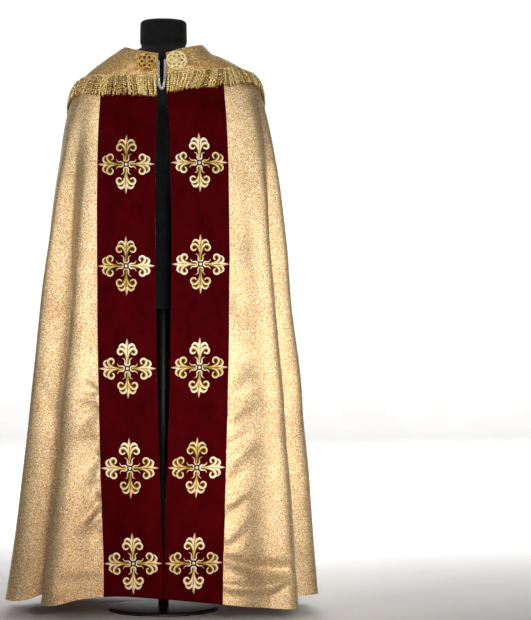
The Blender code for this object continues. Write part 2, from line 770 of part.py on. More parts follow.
def build_crosses(collection):
    cell = ORPHREY_WIDTH / BAND_CELLS
    on_band = 3 * SEAM + CLOTH
    for side, heights in CROSS_HEIGHTS.items():
        first = 0 if side == "left" else GRID_COLUMNS - 1 - BAND_CELLS
        for number, height in enumerate(heights, start=1):
            name = f"cross_{side}_{number}"
            build_cross(name, first, cell, ORPHREY_WIDTH / 2, height, on_band, collection)
    on_hood = HOOD_LIFT + CLOTH + 2 * SEAM
    cell = PANEL_WIDTH / PANEL_CELLS
    build_cross("cross_hood", PANEL_FIRST, cell, PANEL_WIDTH / 2, HOOD_CROSS_HEIGHT, on_hood, collection)


# --- clasps and chain -----------------------------------------------------------------------------
def hood_front_place(x, height):
    """Point and outward direction on the hood's outer face, at an x and a height on the front."""
    down = ROWS[1]
    for _ in range(20):
        turn = float(np.degrees(np.arcsin(-x / section("left" if x < 0 else "right", down))))
        down = float(down_at_height(turn, height))
    point = surface_point(turn, down, HOOD_LIFT + CLOTH)
    return point, cross_normal(folded_point, np.array([turn]), np.array([down]))[0]


def build_clasp(side, collection):
    """A round rosette: a domed disc whose rim is scalloped into petals round a raised middle."""
    point, normal = hood_front_place(*CLASP_PLACES[side])
    steps = CLASP_PETALS * 2
    shape = bmesh.new()
    loops = []
    for radius, rise, notch in CLASP_RINGS:
        loop = []
        for k in range(steps):
            around = 2 * math.pi * k / steps
            reach = CLASP_RADIUS * radius * (1 - notch * (k % 2))
            corner = (reach * math.cos(around), reach * math.sin(around), CLASP_THICK * rise)
            loop.append(shape.verts.new(corner))
        loops.append(loop)
    shape.faces.new(list(reversed(loops[0])))
    for lower, upper in zip(loops, loops[1:]):
        for k in range(steps):
            j = (k + 1) % steps
            shape.faces.new((lower[k], lower[j], upper[j], upper[k]))
    shape.faces.new(loops[-1])
    name = "clasp_" + side
    mesh = bpy.data.meshes.new(name)
    shape.to_mesh(mesh)
    shape.free()
    level = np.cross([0.0, 0.0, 1.0], normal)
    level /= np.linalg.norm(level)
    upright = np.cross(normal, level)
    for vertex in mesh.vertices:
        a, b, c = vertex.co
        vertex.co = tuple(point + level * a + upright * b + normal * (c + SEAM))
    add_object(name, mesh, clasp_metal(), collection, flat=True)


def chain_route():
    """Points of the chain: from one clasp's inner rim, down in a narrow U, and up to the other's."""
    ends = []
    for side, inwards in (("left", 1), ("right", -1)):
        point, normal = hood_front_place(*CLASP_PLACES[side])
        rim = point + np.array([inwards * (CLASP_RADIUS + CHAIN_BEAD + SEAM), 0.0, 0.0])
        ends.append(rim + normal * (CHAIN_BEAD + CHAIN_LIFT))
    left, right = ends
    low = min(left[2], right[2]) - CHAIN_DROP
    front_y = surface_point(0.0, down_at_height(0.0, low), HOOD_LIFT + FRINGE_THICK + 2 * CHAIN_BEAD)[1]
    share = np.linspace(-1.0, 1.0, CHAIN_POINTS)
    belly = 1 + CHAIN_BELLY * (1 - np.abs(share) ** U_CORNERS)
    fall = (1 - np.abs(share) ** U_SIDES) ** U_BOTTOM
    rim = left + (right - left) * ((share + 1) / 2)[:, None]
    x = (left[0] + right[0]) / 2 + (right[0] - left[0]) / 2 * np.sin(share * math.pi / 2) * belly
    y = rim[:, 1] + (front_y - rim[:, 1]) * np.minimum(1.0, fall * FORWARD_FIRST)
    z = rim[:, 2] + (low - rim[:, 2]) * fall
    return np.stack([x, y, z], axis=1)


def build_chain(collection):
    """A chain of small beads on a wire, turned along its route."""
    route = chain_route()
    lengths = np.concatenate([[0.0], np.cumsum(np.linalg.norm(np.diff(route, axis=0), axis=1))])
    beads = int(lengths[-1] / CHAIN_PITCH)
    profile = (0.85 * CHAIN_BEAD, CHAIN_BEAD, CHAIN_WIRE)
    steps = beads * len(profile)
    shape = bmesh.new()
    loops = []
    for k in range(steps + 1):
        places = lengths[-1] * k / steps + CHAIN_WIRE * np.array([-1, 0, 1])
        behind, centre, ahead = np.stack([np.interp(places, lengths, line) for line in route.T], axis=1)
        along = (ahead - behind) / np.linalg.norm(ahead - behind)
        outward = np.array([0.0, -1.0, 0.0])
        sideways = np.cross(along, outward)
        sideways /= np.linalg.norm(sideways)
        outward = np.cross(sideways, along)
        radius = profile[k % len(profile)]
        turns = [2 * math.pi * s / CHAIN_SIDES for s in range(CHAIN_SIDES)]
        ring = [centre + radius * (math.cos(a) * sideways + math.sin(a) * outward) for a in turns]
        loops.append([shape.verts.new(point) for point in ring])
    for first, second in zip(loops, loops[1:]):
        for s in range(CHAIN_SIDES):
            t = (s + 1) % CHAIN_SIDES
            shape.faces.new((first[s], first[t], second[t], second[s]))
    shape.faces.new(loops[0])
    shape.faces.new(loops[-1])
    bmesh.ops.recalc_face_normals(shape, faces=shape.faces)
    mesh = bpy.data.meshes.new("chain")
    shape.to_mesh(mesh)
    shape.free()
    add_object("chain", mesh, chain_metal(), collection)


# --- dress form -----------------------------------------------------------------------------------
def form_turns(down):
    """The front centre, then every second line of the mantle's grid."""
    return np.concatenate([[0.0], [float(column_turn(c, down)) for c in range(0, GRID_COLUMNS, 2)]])


def level_ring(height, half_width, front, back):
    turns = form_turns(FORM_SEAT[-1][0])
    sine, cosine = np.sin(np.radians(turns)), np.cos(np.radians(turns))
    depth = np.where(cosine >= 0, front, back)
    return np.stack([-half_width * sine, -depth * cosine, np.full(len(turns), height)], axis=-1)


def shoulder_ring(down, clearance):
    """A ring of the form's shoulders, just inside the mantle's inner face and on its grid lines."""
    return surface_point(form_turns(down), down, -(CLOTH + clearance))


def build_form(collection):
    rings = [level_ring(*row) for row in FORM_NECK]
    rings += [shoulder_ring(*row) for row in FORM_SEAT]
    rings += [level_ring(*row) for row in FORM_BODY]
    shape = bmesh.new()
    loops = [[shape.verts.new(p) for p in ring] for ring in rings]
    for upper, lower in zip(loops, loops[1:]):
        for k in range(len(upper)):
            j = (k + 1) % len(upper)
            shape.faces.new((upper[k], upper[j], lower[j], lower[k]))
    shape.faces.new(loops[0])
    shape.faces.new(loops[-1])
    bmesh.ops.recalc_face_normals(shape, faces=shape.faces)
    mesh = bpy.data.meshes.new("dress_form")
    shape.to_mesh(mesh)
    shape.free()
    add_object("dress_form", mesh, form_cloth(), collection)


def build_stand(collection):
    under_form = FORM_BODY[-1][0] - SEAM
    pole_height = under_form - BASE_HEIGHT - SEAM
    pole_middle = BASE_HEIGHT + SEAM + pole_height / 2
    bpy.ops.mesh.primitive_cylinder_add(
        vertices=POLE_SIDES, radius=POLE_RADIUS, depth=pole_height, location=(0, 0, pole_middle)
    )
    pole = bpy.context.object
    pole.name = "stand_pole"
    bpy.ops.mesh.primitive_cylinder_add(
        vertices=BASE_SIDES, radius=BASE_RADIUS, depth=BASE_HEIGHT, location=(0, 0, BASE_HEIGHT / 2)
    )
    base = bpy.context.object
    base.name = "stand_base"
    bevel = base.modifiers.new("rim", "BEVEL")
    bevel.width = BASE_HEIGHT / 4
    bevel.segments = 1
    bevel.limit_method = "ANGLE"
    for piece in (pole, base):
        piece.data.materials.append(stand_metal())
        piece.data.shade_smooth()
        piece.data.set_sharp_from_angle(angle=math.radians(40))
        for holder in list(piece.users_collection):
            holder.objects.unlink(piece)
        collection.objects.link(piece)


def main():
    clear_scene()
    cope = bpy.data.collections.new("cope_on_dress_form")
    bpy.context.scene.collection.children.link(cope)
    build_mantle(cope)
    build_orphreys(cope)
    build_hood(cope)
    build_fringe("left", cope)
    build_fringe("right", cope)
    build_crosses(cope)
    build_clasp("left", cope)
    build_clasp("right", cope)
    build_chain(cope)
    build_form(cope)
    build_stand(cope)


main()
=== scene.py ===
"""Looks of the gold cope with velvet orphreys on its dress form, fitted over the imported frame.

All cloth is read from one map of the mantle's outer face, cloth(place, down, lift):
  place  0 at the left front edge to CELLS at the right one: band, side, back panel, side, band
  down   0 at the neckline, 1 at the hem
  lift   metres out from the mantle's outer face
The first tables and functions repeat the surface that the frame's solids were made from.
"""

import math

import bpy
import numpy as np
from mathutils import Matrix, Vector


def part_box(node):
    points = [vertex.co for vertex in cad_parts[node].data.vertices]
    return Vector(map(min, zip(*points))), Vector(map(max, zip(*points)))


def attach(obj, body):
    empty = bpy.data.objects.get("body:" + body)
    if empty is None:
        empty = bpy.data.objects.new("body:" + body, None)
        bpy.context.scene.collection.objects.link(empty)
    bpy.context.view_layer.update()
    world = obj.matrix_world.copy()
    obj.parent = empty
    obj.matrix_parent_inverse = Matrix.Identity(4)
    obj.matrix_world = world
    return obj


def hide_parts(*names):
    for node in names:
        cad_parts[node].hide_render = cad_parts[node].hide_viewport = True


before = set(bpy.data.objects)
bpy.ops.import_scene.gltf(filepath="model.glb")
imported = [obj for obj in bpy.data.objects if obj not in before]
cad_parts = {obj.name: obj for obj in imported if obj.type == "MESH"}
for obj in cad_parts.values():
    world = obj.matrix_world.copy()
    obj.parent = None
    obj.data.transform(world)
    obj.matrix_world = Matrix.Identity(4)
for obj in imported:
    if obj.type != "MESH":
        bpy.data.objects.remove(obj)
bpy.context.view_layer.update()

# --- sizes of the cloth, as in the frame ---
CLOTH = 0.0020
SEAM = 0.0003
HOOD_LIFT = 0.0008
# rows: down, then the heights and half widths of the quarters in this order
QUARTERS = ("front_z", "left_z", "back_z", "right_z", "front", "left", "back", "right")
SECTIONS = (
    (0.00, 1.486, 1.510, 1.556, 1.515, 0.097, 0.104, 0.083, 0.104),
    (0.02, 1.468, 1.493, 1.537, 1.492, 0.105, 0.127, 0.098, 0.127),
    (0.04, 1.450, 1.479, 1.518, 1.483, 0.112, 0.150, 0.112, 0.155),
    (0.08, 1.410, 1.435, 1.469, 1.453, 0.122, 0.206, 0.133, 0.213),
    (0.11, 1.372, 1.399, 1.425, 1.423, 0.129, 0.239, 0.146, 0.253),
    (0.14, 1.330, 1.350, 1.372, 1.366, 0.135, 0.254, 0.155, 0.269),
    (0.25, 1.180, 1.195, 1.205, 1.200, 0.150, 0.283, 0.175, 0.302),
    (0.40, 0.985, 0.990, 1.000, 0.990, 0.170, 0.309, 0.198, 0.318),
    (0.55, 0.770, 0.772, 0.785, 0.772, 0.194, 0.328, 0.223, 0.335),
    (0.70, 0.545, 0.545, 0.560, 0.545, 0.219, 0.352, 0.251, 0.356),
    (0.85, 0.300, 0.297, 0.320, 0.297, 0.246, 0.376, 0.280, 0.376),
    (1.00, 0.055, 0.040, 0.070, 0.040, 0.270, 0.411, 0.306, 0.394),
)
FULLNESS = 0.10  # how much rounder than an ellipse the quarters are
# the hem's height at each turn
HEM = (
    (0, 0.062), (20, 0.068), (30, 0.060), (41, 0.042), (50, 0.046), (56, 0.058), (64, 0.041), (72, 0.041),
    (80, 0.046), (92, 0.050), (105, 0.044), (122, 0.034), (138, 0.020), (153, 0.036), (167, 0.072),
    (180, 0.086), (195, 0.070), (211, 0.036), (225, 0.022), (239, 0.036), (255, 0.046), (270, 0.048),
    (286, 0.045), (296, 0.041), (300, 0.030), (305, 0.025), (322, 0.033), (338, 0.046), (360, 0.062),
)
HEM_FROM = 0.70  # down from which the cloth is drawn to the hem's heights
# the neckline's height at each turn
NECKLINE = (
    (0, 1.485), (23, 1.491), (35, 1.495), (60, 1.506), (90, 1.513), (118, 1.512), (143, 1.518), (155, 1.532),
    (168, 1.549), (180, 1.555), (192, 1.549), (205, 1.532), (217, 1.519), (242, 1.516), (270, 1.520),
    (300, 1.514), (323, 1.506), (340, 1.498), (360, 1.486),
)
NECK_UNTIL = 0.06  # down until which it is drawn to the neckline's heights
# Folds, from the left front round the back to the right front: turn at the top and at the hem, down
# where the fold starts and where it is full, half width in turn, depth.
FOLDS = (
    (53.0, 56.5, 0.08, 0.60, 7.0, 0.046), (93.0, 97.0, 0.30, 1.00, 9.0, 0.020),
    (121.0, 122.0, 0.14, 0.85, 7.5, 0.040), (158.0, 157.0, 0.62, 1.05, 6.0, 0.014),
    (172.0, 171.5, 0.70, 1.05, 4.5, 0.010), (192.0, 193.0, 0.24, 0.90, 8.0, 0.022),
    (213.0, 214.0, 0.60, 1.05, 6.5, 0.014), (240.0, 239.0, 0.13, 0.85, 7.5, 0.042),
    (268.0, 266.0, 0.35, 1.00, 8.0, 0.018), (292.5, 293.0, 0.06, 0.62, 6.5, 0.058),
    (322.0, 320.0, 0.66, 1.05, 6.5, 0.012),
)
SWELL = 0.35  # rise on both sides of a fold, as a share of its depth
# the front opening: down, x of its left and of its right edge
OPENING = (
    (0.00, -0.0140, 0.0065), (0.10, -0.0155, 0.0095), (0.18, -0.0200, 0.0160), (0.30, -0.0220, 0.0195),
    (0.48, -0.0205, 0.0200), (0.64, -0.0170, 0.0165), (0.76, -0.0120, 0.0110), (0.88, -0.0060, 0.0050),
    (0.95, -0.0015, 0.0015), (1.00, -0.0012, 0.0012),
)
ORPHREY_WIDTH = 0.153
ORPHREY_TOP = 0.090
PANEL_WIDTH = 0.154
NECK_BAND_SHARE = 0.35
BANDS_FULL = 0.075
# the height of the hood's lower edge at each turn
HOOD_EDGE = (
    (0, 1.428), (40, 1.430), (75, 1.427), (93, 1.412), (108, 1.390), (122, 1.365), (140, 1.330), (162, 1.276),
    (180, 1.235), (198, 1.276), (220, 1.335), (238, 1.372), (252, 1.407), (267, 1.434), (285, 1.451),
    (320, 1.446), (360, 1.436),
)
BAND_CELLS = 4
SIDE_CELLS = 24
PANEL_CELLS = 6
BAND_END = BAND_CELLS
PANEL_FIRST = BAND_CELLS + SIDE_CELLS
PANEL_LAST = PANEL_FIRST + PANEL_CELLS
SECOND_BAND = PANEL_LAST + SIDE_CELLS
CELLS = SECOND_BAND + BAND_CELLS
BACK_CENTRE = (PANEL_FIRST + PANEL_LAST) / 2

FRINGE_LENGTH = 0.058
FRINGE_HEADER = 0.008
CROSS_HEIGHTS = {
    "left": (1.190, 0.922, 0.654, 0.397, 0.153),
    "right": (1.195, 0.927, 0.657, 0.398, 0.153),
}
HOOD_CROSS_HEIGHT = 1.413
CROSS_HALF_WIDTH = 0.0745
CROSS_HALF_HEIGHT = 0.0780
ROSE_RUN = 10.0  # added to the run of strokes in rose thread, which tells their material
CLASP_RADIUS = 0.0280
CLASP_PLACES = {"left": (-0.0436, 1.463), "right": (0.0345, 1.467)}
CHAIN_DROP = 0.075
CHAIN_BEAD = 0.0024
FRINGE_THICK = 0.0032
# the dress form: seat of the cloth on its shoulders by down and clearance, then rings of the body by
# height, half width, depth in front and behind, and of the neck by height and radius
FORM_SEAT = ((0.05, 0.0030), (0.075, 0.0014), (0.09, 0.0006), (0.115, 0.0030))
FORM_BODY = (
    (1.320, 0.200, 0.110, 0.118), (1.220, 0.186, 0.118, 0.112), (1.060, 0.160, 0.106, 0.094),
    (0.930, 0.172, 0.108, 0.100), (0.830, 0.180, 0.106, 0.106), (0.812, 0.172, 0.098, 0.098),
)
FORM_NECK = (
    (1.5880, 0.0400), (1.5870, 0.0530), (1.5825, 0.0600), (1.5740, 0.0625), (1.5300, 0.0635),
    (1.5080, 0.0670),
)
SMOOTH_SAMPLES = 2001
TURN = 2 * math.pi

# --- the camera, at the photograph's viewing angle ---
PHOTO_WIDTH, PHOTO_HEIGHT = 531, 620
PHOTO_SCALE = 0.0027  # metres a pixel at the cope's axis
PHOTO_AXIS_X = 163.5  # pixel column of the cope's axis
CAMERA_DISTANCE = 6.0
CAMERA_HEIGHT = 0.807
SENSOR = 36.0


def hermite(t, start, end, slope_0, slope_1):
    """Between two values with their slopes, t from 0 to 1."""
    return (
        (1 + 2 * t) * (1 - t) ** 2 * start
        + t * (1 - t) ** 2 * slope_0
        + t * t * (3 - 2 * t) * end
        + t * t * (t - 1) * slope_1
    )


def smooth_line(x, y, where):
    """A smooth line through rows of y that lie at x, read at where."""
    slope = np.gradient(y, x, axis=0)
    i = np.clip(np.searchsorted(x, where, side="right") - 1, 0, len(x) - 2)
    spare = (slice(None),) + (None,) * (y.ndim - 1)
    step = (x[i + 1] - x[i])[spare]
    t = (where - x[i])[spare] / step
    return hermite(t, y[i], y[i + 1], step * slope[i], step * slope[i + 1])


def run_along(points):
    """Distance from a line's start at each of its points."""
    return np.concatenate([[0.0], np.cumsum(np.linalg.norm(np.diff(points, axis=0), axis=1))])


def stacked(*parts):
    """Arrays stretched to one shape, side by side on a new last axis."""
    return np.stack(np.broadcast_arrays(*parts), axis=-1)


def smooth_columns(table):
    """A table's columns as smooth curves over its first one, finely sampled: where, values."""
    table = np.array(table)
    where = np.linspace(table[0, 0], table[-1, 0], SMOOTH_SAMPLES)
    return [(where, column) for column in smooth_line(table[:, 0], table[:, 1:], where).T]


SMOOTH_SECTIONS = dict(zip(QUARTERS, smooth_columns(SECTIONS)))
SMOOTH_OPENING = dict(zip(("left", "right"), smooth_columns(OPENING)))
SMOOTH_HEM, SMOOTH_NECKLINE, SMOOTH_HOOD_EDGE = (smooth_columns(t)[0] for t in (HEM, NECKLINE, HOOD_EDGE))


def section(name, down):
    return np.interp(down, *SMOOTH_SECTIONS[name])


def ease(x):
    x = np.clip(x, 0.0, 1.0)
    return x * x * (3 - 2 * x)


def fold_offset(turn, down):
    total = np.zeros(np.broadcast(turn, down).shape)
    for top, hem, start, full, half_width, depth in FOLDS:
        away = (turn - (top + (hem - top) * down)) / half_width
        grown = ease((down - start) / (full - start))
        total += depth * grown * (SWELL * np.exp(-((np.abs(away) - 2.0) ** 2)) - np.exp(-(away**2)))
    return total


def level_height(on_left, at_front, sine, cosine, down):
    side_z = np.where(on_left, section("left_z", down), section("right_z", down))
    end_z = np.where(at_front, section("front_z", down), section("back_z", down))
    return end_z * cosine**2 + side_z * sine**2


def unfolded_point(turn, down):
    """The cloth before its folds are pressed in."""
    angle = np.radians(turn)
    sine, cosine = np.sin(angle), np.cos(angle)
    sides = (sine >= 0, cosine >= 0, sine, cosine)
    half = np.where(sine >= 0, section("left", down), section("right", down))
    depth = np.where(cosine >= 0, section("front", down), section("back", down))
    around = np.mod(turn, 360.0)
    hem_pull = ease((down - HEM_FROM) / (1 - HEM_FROM))
    hem_shift = np.interp(around, *SMOOTH_HEM) - level_height(*sides, 1.0)
    neck_pull = 1 - ease(down / NECK_UNTIL)
    neck_shift = np.interp(around, *SMOOTH_NECKLINE) - level_height(*sides, 0.0)
    fuller = 1 + FULLNESS * np.sin(2 * angle) ** 2
    z = level_height(*sides, down) + hem_pull * hem_shift + neck_pull * neck_shift
    return stacked(-half * sine * fuller**0.5, -depth * cosine * fuller, z)


def unit(vectors):
    return vectors / np.linalg.norm(vectors, axis=-1, keepdims=True)


def cross_normal(point, turn, down):
    by_turn = point(turn + 0.25, down) - point(turn - 0.25, down)
    by_down = point(turn, np.minimum(down + 0.003, 1.0)) - point(turn, np.maximum(down - 0.003, 0.0))
    return unit(np.cross(by_turn, by_down))


def folded_point(turn, down):
    outward = cross_normal(unfolded_point, turn, down)
    outward[..., 2] = 0.0
    return unfolded_point(turn, down) + unit(outward) * fold_offset(turn, down)[..., None]


def edge_turn(side, down):
    x = np.interp(down, *SMOOTH_OPENING[side])
    turn = np.degrees(np.arcsin(-x / section(side, down)))
    return turn if side == "left" else 360.0 + turn


# --- the cloth map ---
MAP_PER_CELL = 10
MAP_ROWS = 361
MAP_DOWNS = np.linspace(0.0, 1.0, MAP_ROWS)
MAP_PLACES = np.linspace(0.0, CELLS, CELLS * MAP_PER_CELL + 1)
LENGTH_TURNS = np.linspace(0.0, 360.0, 1441)


def map_turns():
    """The turn of every place on every row: bands and panel keep their width, the sides share the rest."""
    marks = (0, BAND_END, PANEL_FIRST, PANEL_LAST, SECOND_BAND, CELLS)
    grid = []
    for down in MAP_DOWNS:
        lengths = run_along(folded_point(LENGTH_TURNS, down))
        band = ORPHREY_WIDTH * (NECK_BAND_SHARE + (1 - NECK_BAND_SHARE) * ease(down / BANDS_FULL))
        turns = (edge_turn("left", down), 180.0, edge_turn("right", down))
        start, back, end = np.interp(turns, LENGTH_TURNS, lengths)
        ends = (start, start + band, back - PANEL_WIDTH / 2, back + PANEL_WIDTH / 2, end - band, end)
        grid.append(np.interp(np.interp(MAP_PLACES, marks, ends), lengths, LENGTH_TURNS))
    return np.array(grid)


# Creases, in millimetres: across and height of the start and of the end, half width,
# depth, bow. Across is the distance along the cloth from the named line, a negative depth is a
# trough, and the bow curves a crease sideways at its middle.
CREASES = {
    "from_left_edge": (
        (196, 632, 158, 592, 13, -3.6, 4), (216, 566, 155, 574, 15, 3.6, -6), (208, 526, 155, 548, 12, -4, 4),
        (230, 468, 156, 500, 18, 4.2, 0), (212, 388, 155, 433, 14, -5.6, 8), (200, 350, 155, 386, 13, 4.2, 3),
        (236, 246, 155, 320, 16, -7.8, 10), (226, 214, 158, 286, 13, 5.8, 6),
        (200, 182, 155, 232, 14, -3.4, 4), (160, 112, 280, 96, 18, -4.4, 6),
        (200, 820, 156, 776, 18, -2.6, 3), (222, 960, 156, 905, 20, -2.4, 3),
    ),
    "from_right_edge": (
        (256, 676, 156, 622, 17, 3, -6), (230, 626, 156, 580, 14, -2.6, 5), (268, 584, 157, 528, 21, 4.4, -8),
        (240, 506, 156, 458, 15, -3.4, 6), (272, 474, 157, 404, 18, 3.6, -7), (226, 404, 156, 362, 12, -3, 4),
        (254, 362, 156, 308, 16, 3.4, 4), (222, 318, 156, 276, 12, -3.6, 4),
        (262, 290, 160, 216, 15, 3.6, -6), (226, 232, 157, 190, 11, -3, 3),
        (140, 168, 360, 128, 24, -15, -12), (140, 98, 350, 92, 20, 13, -10), (292, 56, 366, 100, 15, -8, 4),
        (200, 866, 156, 806, 18, -2.6, 4), (236, 1000, 157, 930, 24, 2.2, -6),
        (230, 1180, 157, 1110, 24, -2, 6),
    ),
    "from_back_centre": (
        (-110, 930, -190, 640, 22, -4, 10), (120, 900, 205, 560, 24, -4.2, -10),
        (-60, 560, -105, 90, 18, -3.6, 6), (75, 520, 120, 80, 18, -3.8, -6),
        (-250, 480, -360, 250, 18, -4, 10), (270, 520, 380, 300, 18, -4.4, -10),
        (-300, 780, -420, 700, 16, 3.6, 10), (310, 820, 430, 760, 16, 3.4, -10),
        (-480, 380, -600, 300, 14, -4, 8), (470, 420, 610, 330, 14, -4, -8),
        (-620, 620, -740, 500, 16, -3.6, 8), (640, 640, 760, 540, 16, -3.6, -8),
        (-20, 1120, -60, 700, 22, 2.8, 6), (-200, 150, -330, 120, 16, -4, 4),
        (220, 140, 350, 110, 16, -4.4, -4),
    ),
}
PUCKER = 1.5  # how much deeper the creases are that run into the velvet's seams
PUCKER_GROWN, PUCKER_END = 0.8, 0.94  # shares of such a crease where it is deepest and where it stops
PUCKER_STOPS = 0.14  # share of its length in which it stops
CREASE_END = 0.48  # the other creases fade out this share of their length from the middle
CREASE_NARROW, CREASE_WIDENS = 0.7, 0.45  # share of the half width at the start, and what the end adds
CREASE_RIM = 0.45  # how far the cloth rises again on both sides of a trough
CREASES_FROM, CREASES_GROW = 0.13, 0.12  # down under which creases start, and in which they grow
WAVES = 16  # broad, faint unevenness of hanging cloth
WAVE_WIDTHS = (0.09, 0.30)
WAVE_HEIGHTS = (0.35, 1.3)
WAVE_DEPTH = 0.00154
WAVE_WIDTH = 0.2  # a wave of this width has the whole depth, others have their share


def crease_offset(across, height):
    total = np.zeros(height.shape)
    for line, rows in CREASES.items():
        for a0, z0, a1, z1, half_width, depth, bow in np.array(rows) / 1000:
            length = math.hypot(a1 - a0, z1 - z0)
            along = (a1 - a0) / length, (z1 - z0) / length
            a, z = across[line] - a0, height - z0
            share = (a * along[0] + z * along[1]) / length
            away = z * along[0] - a * along[1] - bow * 4 * share * (1 - share)
            q = (away / (half_width * (CREASE_NARROW + CREASE_WIDENS * np.clip(share, 0, 1)))) ** 2
            if line != "from_back_centre" and a1 < a0:
                stop = ease((share - PUCKER_END) / PUCKER_STOPS)
                ends = PUCKER * ease(share / PUCKER_GROWN) * (1 - stop)
            else:
                ends = np.exp(-(((share - 0.5) / CREASE_END) ** 4))
            total += depth * ends * np.exp(-q) * (1 - CREASE_RIM * q)
    return total


def wave_offset(across, height):
    dice = np.random.default_rng(5)
    total = np.zeros(across.shape)
    for _ in range(WAVES):
        wide = dice.uniform(*WAVE_WIDTHS)
        tall = dice.uniform(*WAVE_HEIGHTS)
        phase = dice.uniform(0, TURN)
        slant = dice.choice((-1, 1))
        total += np.sin(TURN * (across / wide + slant * height / tall) + phase) * wide / WAVE_WIDTH
    return WAVE_DEPTH * total / math.sqrt(WAVES)


def grid_normals(grid):
    return unit(np.cross(np.gradient(grid, axis=1), np.gradient(grid, axis=0)))


def make_map():
    turns = map_turns()
    points = folded_point(turns, MAP_DOWNS[:, None])
    lengths = np.array([run_along(row) for row in points])
    across = {
        "from_left_edge": lengths,
        "from_right_edge": lengths[:, -1:] - lengths,
        "from_back_centre": lengths - lengths[:, [int(BACK_CENTRE * MAP_PER_CELL)]],
    }
    outward = grid_normals(points)
    outward[..., 2] = 0.0
    height = points[..., 2]
    grown = ease((MAP_DOWNS[:, None] - CREASES_FROM) / CREASES_GROW)
    moved = crease_offset(across, height) + wave_offset(across["from_back_centre"], height)
    points = points + unit(outward) * (moved * grown)[..., None]
    return turns, points, grid_normals(points)


MAP_TURNS, MAP_POINTS, MAP_NORMALS = make_map()


def read_map(table, place, down):
    """Values of a map table between its samples."""
    c = np.clip(np.asarray(place, float), 0.0, CELLS) * MAP_PER_CELL
    r = np.clip(np.asarray(down, float), 0.0, 1.0) * (MAP_ROWS - 1)
    c, r = np.broadcast_arrays(c, r)
    c0 = np.minimum(c.astype(int), table.shape[1] - 2)
    r0 = np.minimum(r.astype(int), table.shape[0] - 2)
    sc, sr = c - c0, r - r0
    if table.ndim == 3:
        sc, sr = sc[..., None], sr[..., None]
    top = table[r0, c0] * (1 - sc) + table[r0, c0 + 1] * sc
    low = table[r0 + 1, c0] * (1 - sc) + table[r0 + 1, c0 + 1] * sc
    return top * (1 - sr) + low * sr


def cloth_normal(place, down):
    return unit(read_map(MAP_NORMALS, place, down))


def cloth(place, down, lift=0.0):
    lift = np.asarray(lift, float)
    return read_map(MAP_POINTS, place, down) + cloth_normal(place, down) * lift[..., None]


def down_at_height(place, height):
    """Down where the line of a place passes a height."""
    low = np.zeros(np.broadcast(place, height).shape)
    high = np.ones_like(low)
    heights = MAP_POINTS[..., 2]
    for _ in range(24):
        middle = (low + high) / 2
        above = read_map(heights, place, middle) > height
        low, high = np.where(above, middle, low), np.where(above, high, middle)
    return (low + high) / 2


def hood_down(place):
    """Down of the hood's lower edge at a place."""
    down = 0.1
    for _ in range(6):
        down = down_at_height(place, np.interp(read_map(MAP_TURNS, place, down), *SMOOTH_HOOD_EDGE))
    return down


# --- materials ---
MIX_SOCKETS = (0, 6, 7)  # factor and the two colours of a colour mix


def srgb(red, green, blue):
    """A colour of 0-255 as linear light."""
    values = [c / 255 for c in (red, green, blue)]
    return tuple(c / 12.92 if c <= 0.04045 else ((c + 0.055) / 1.055) ** 2.4 for c in values) + (1.0,)


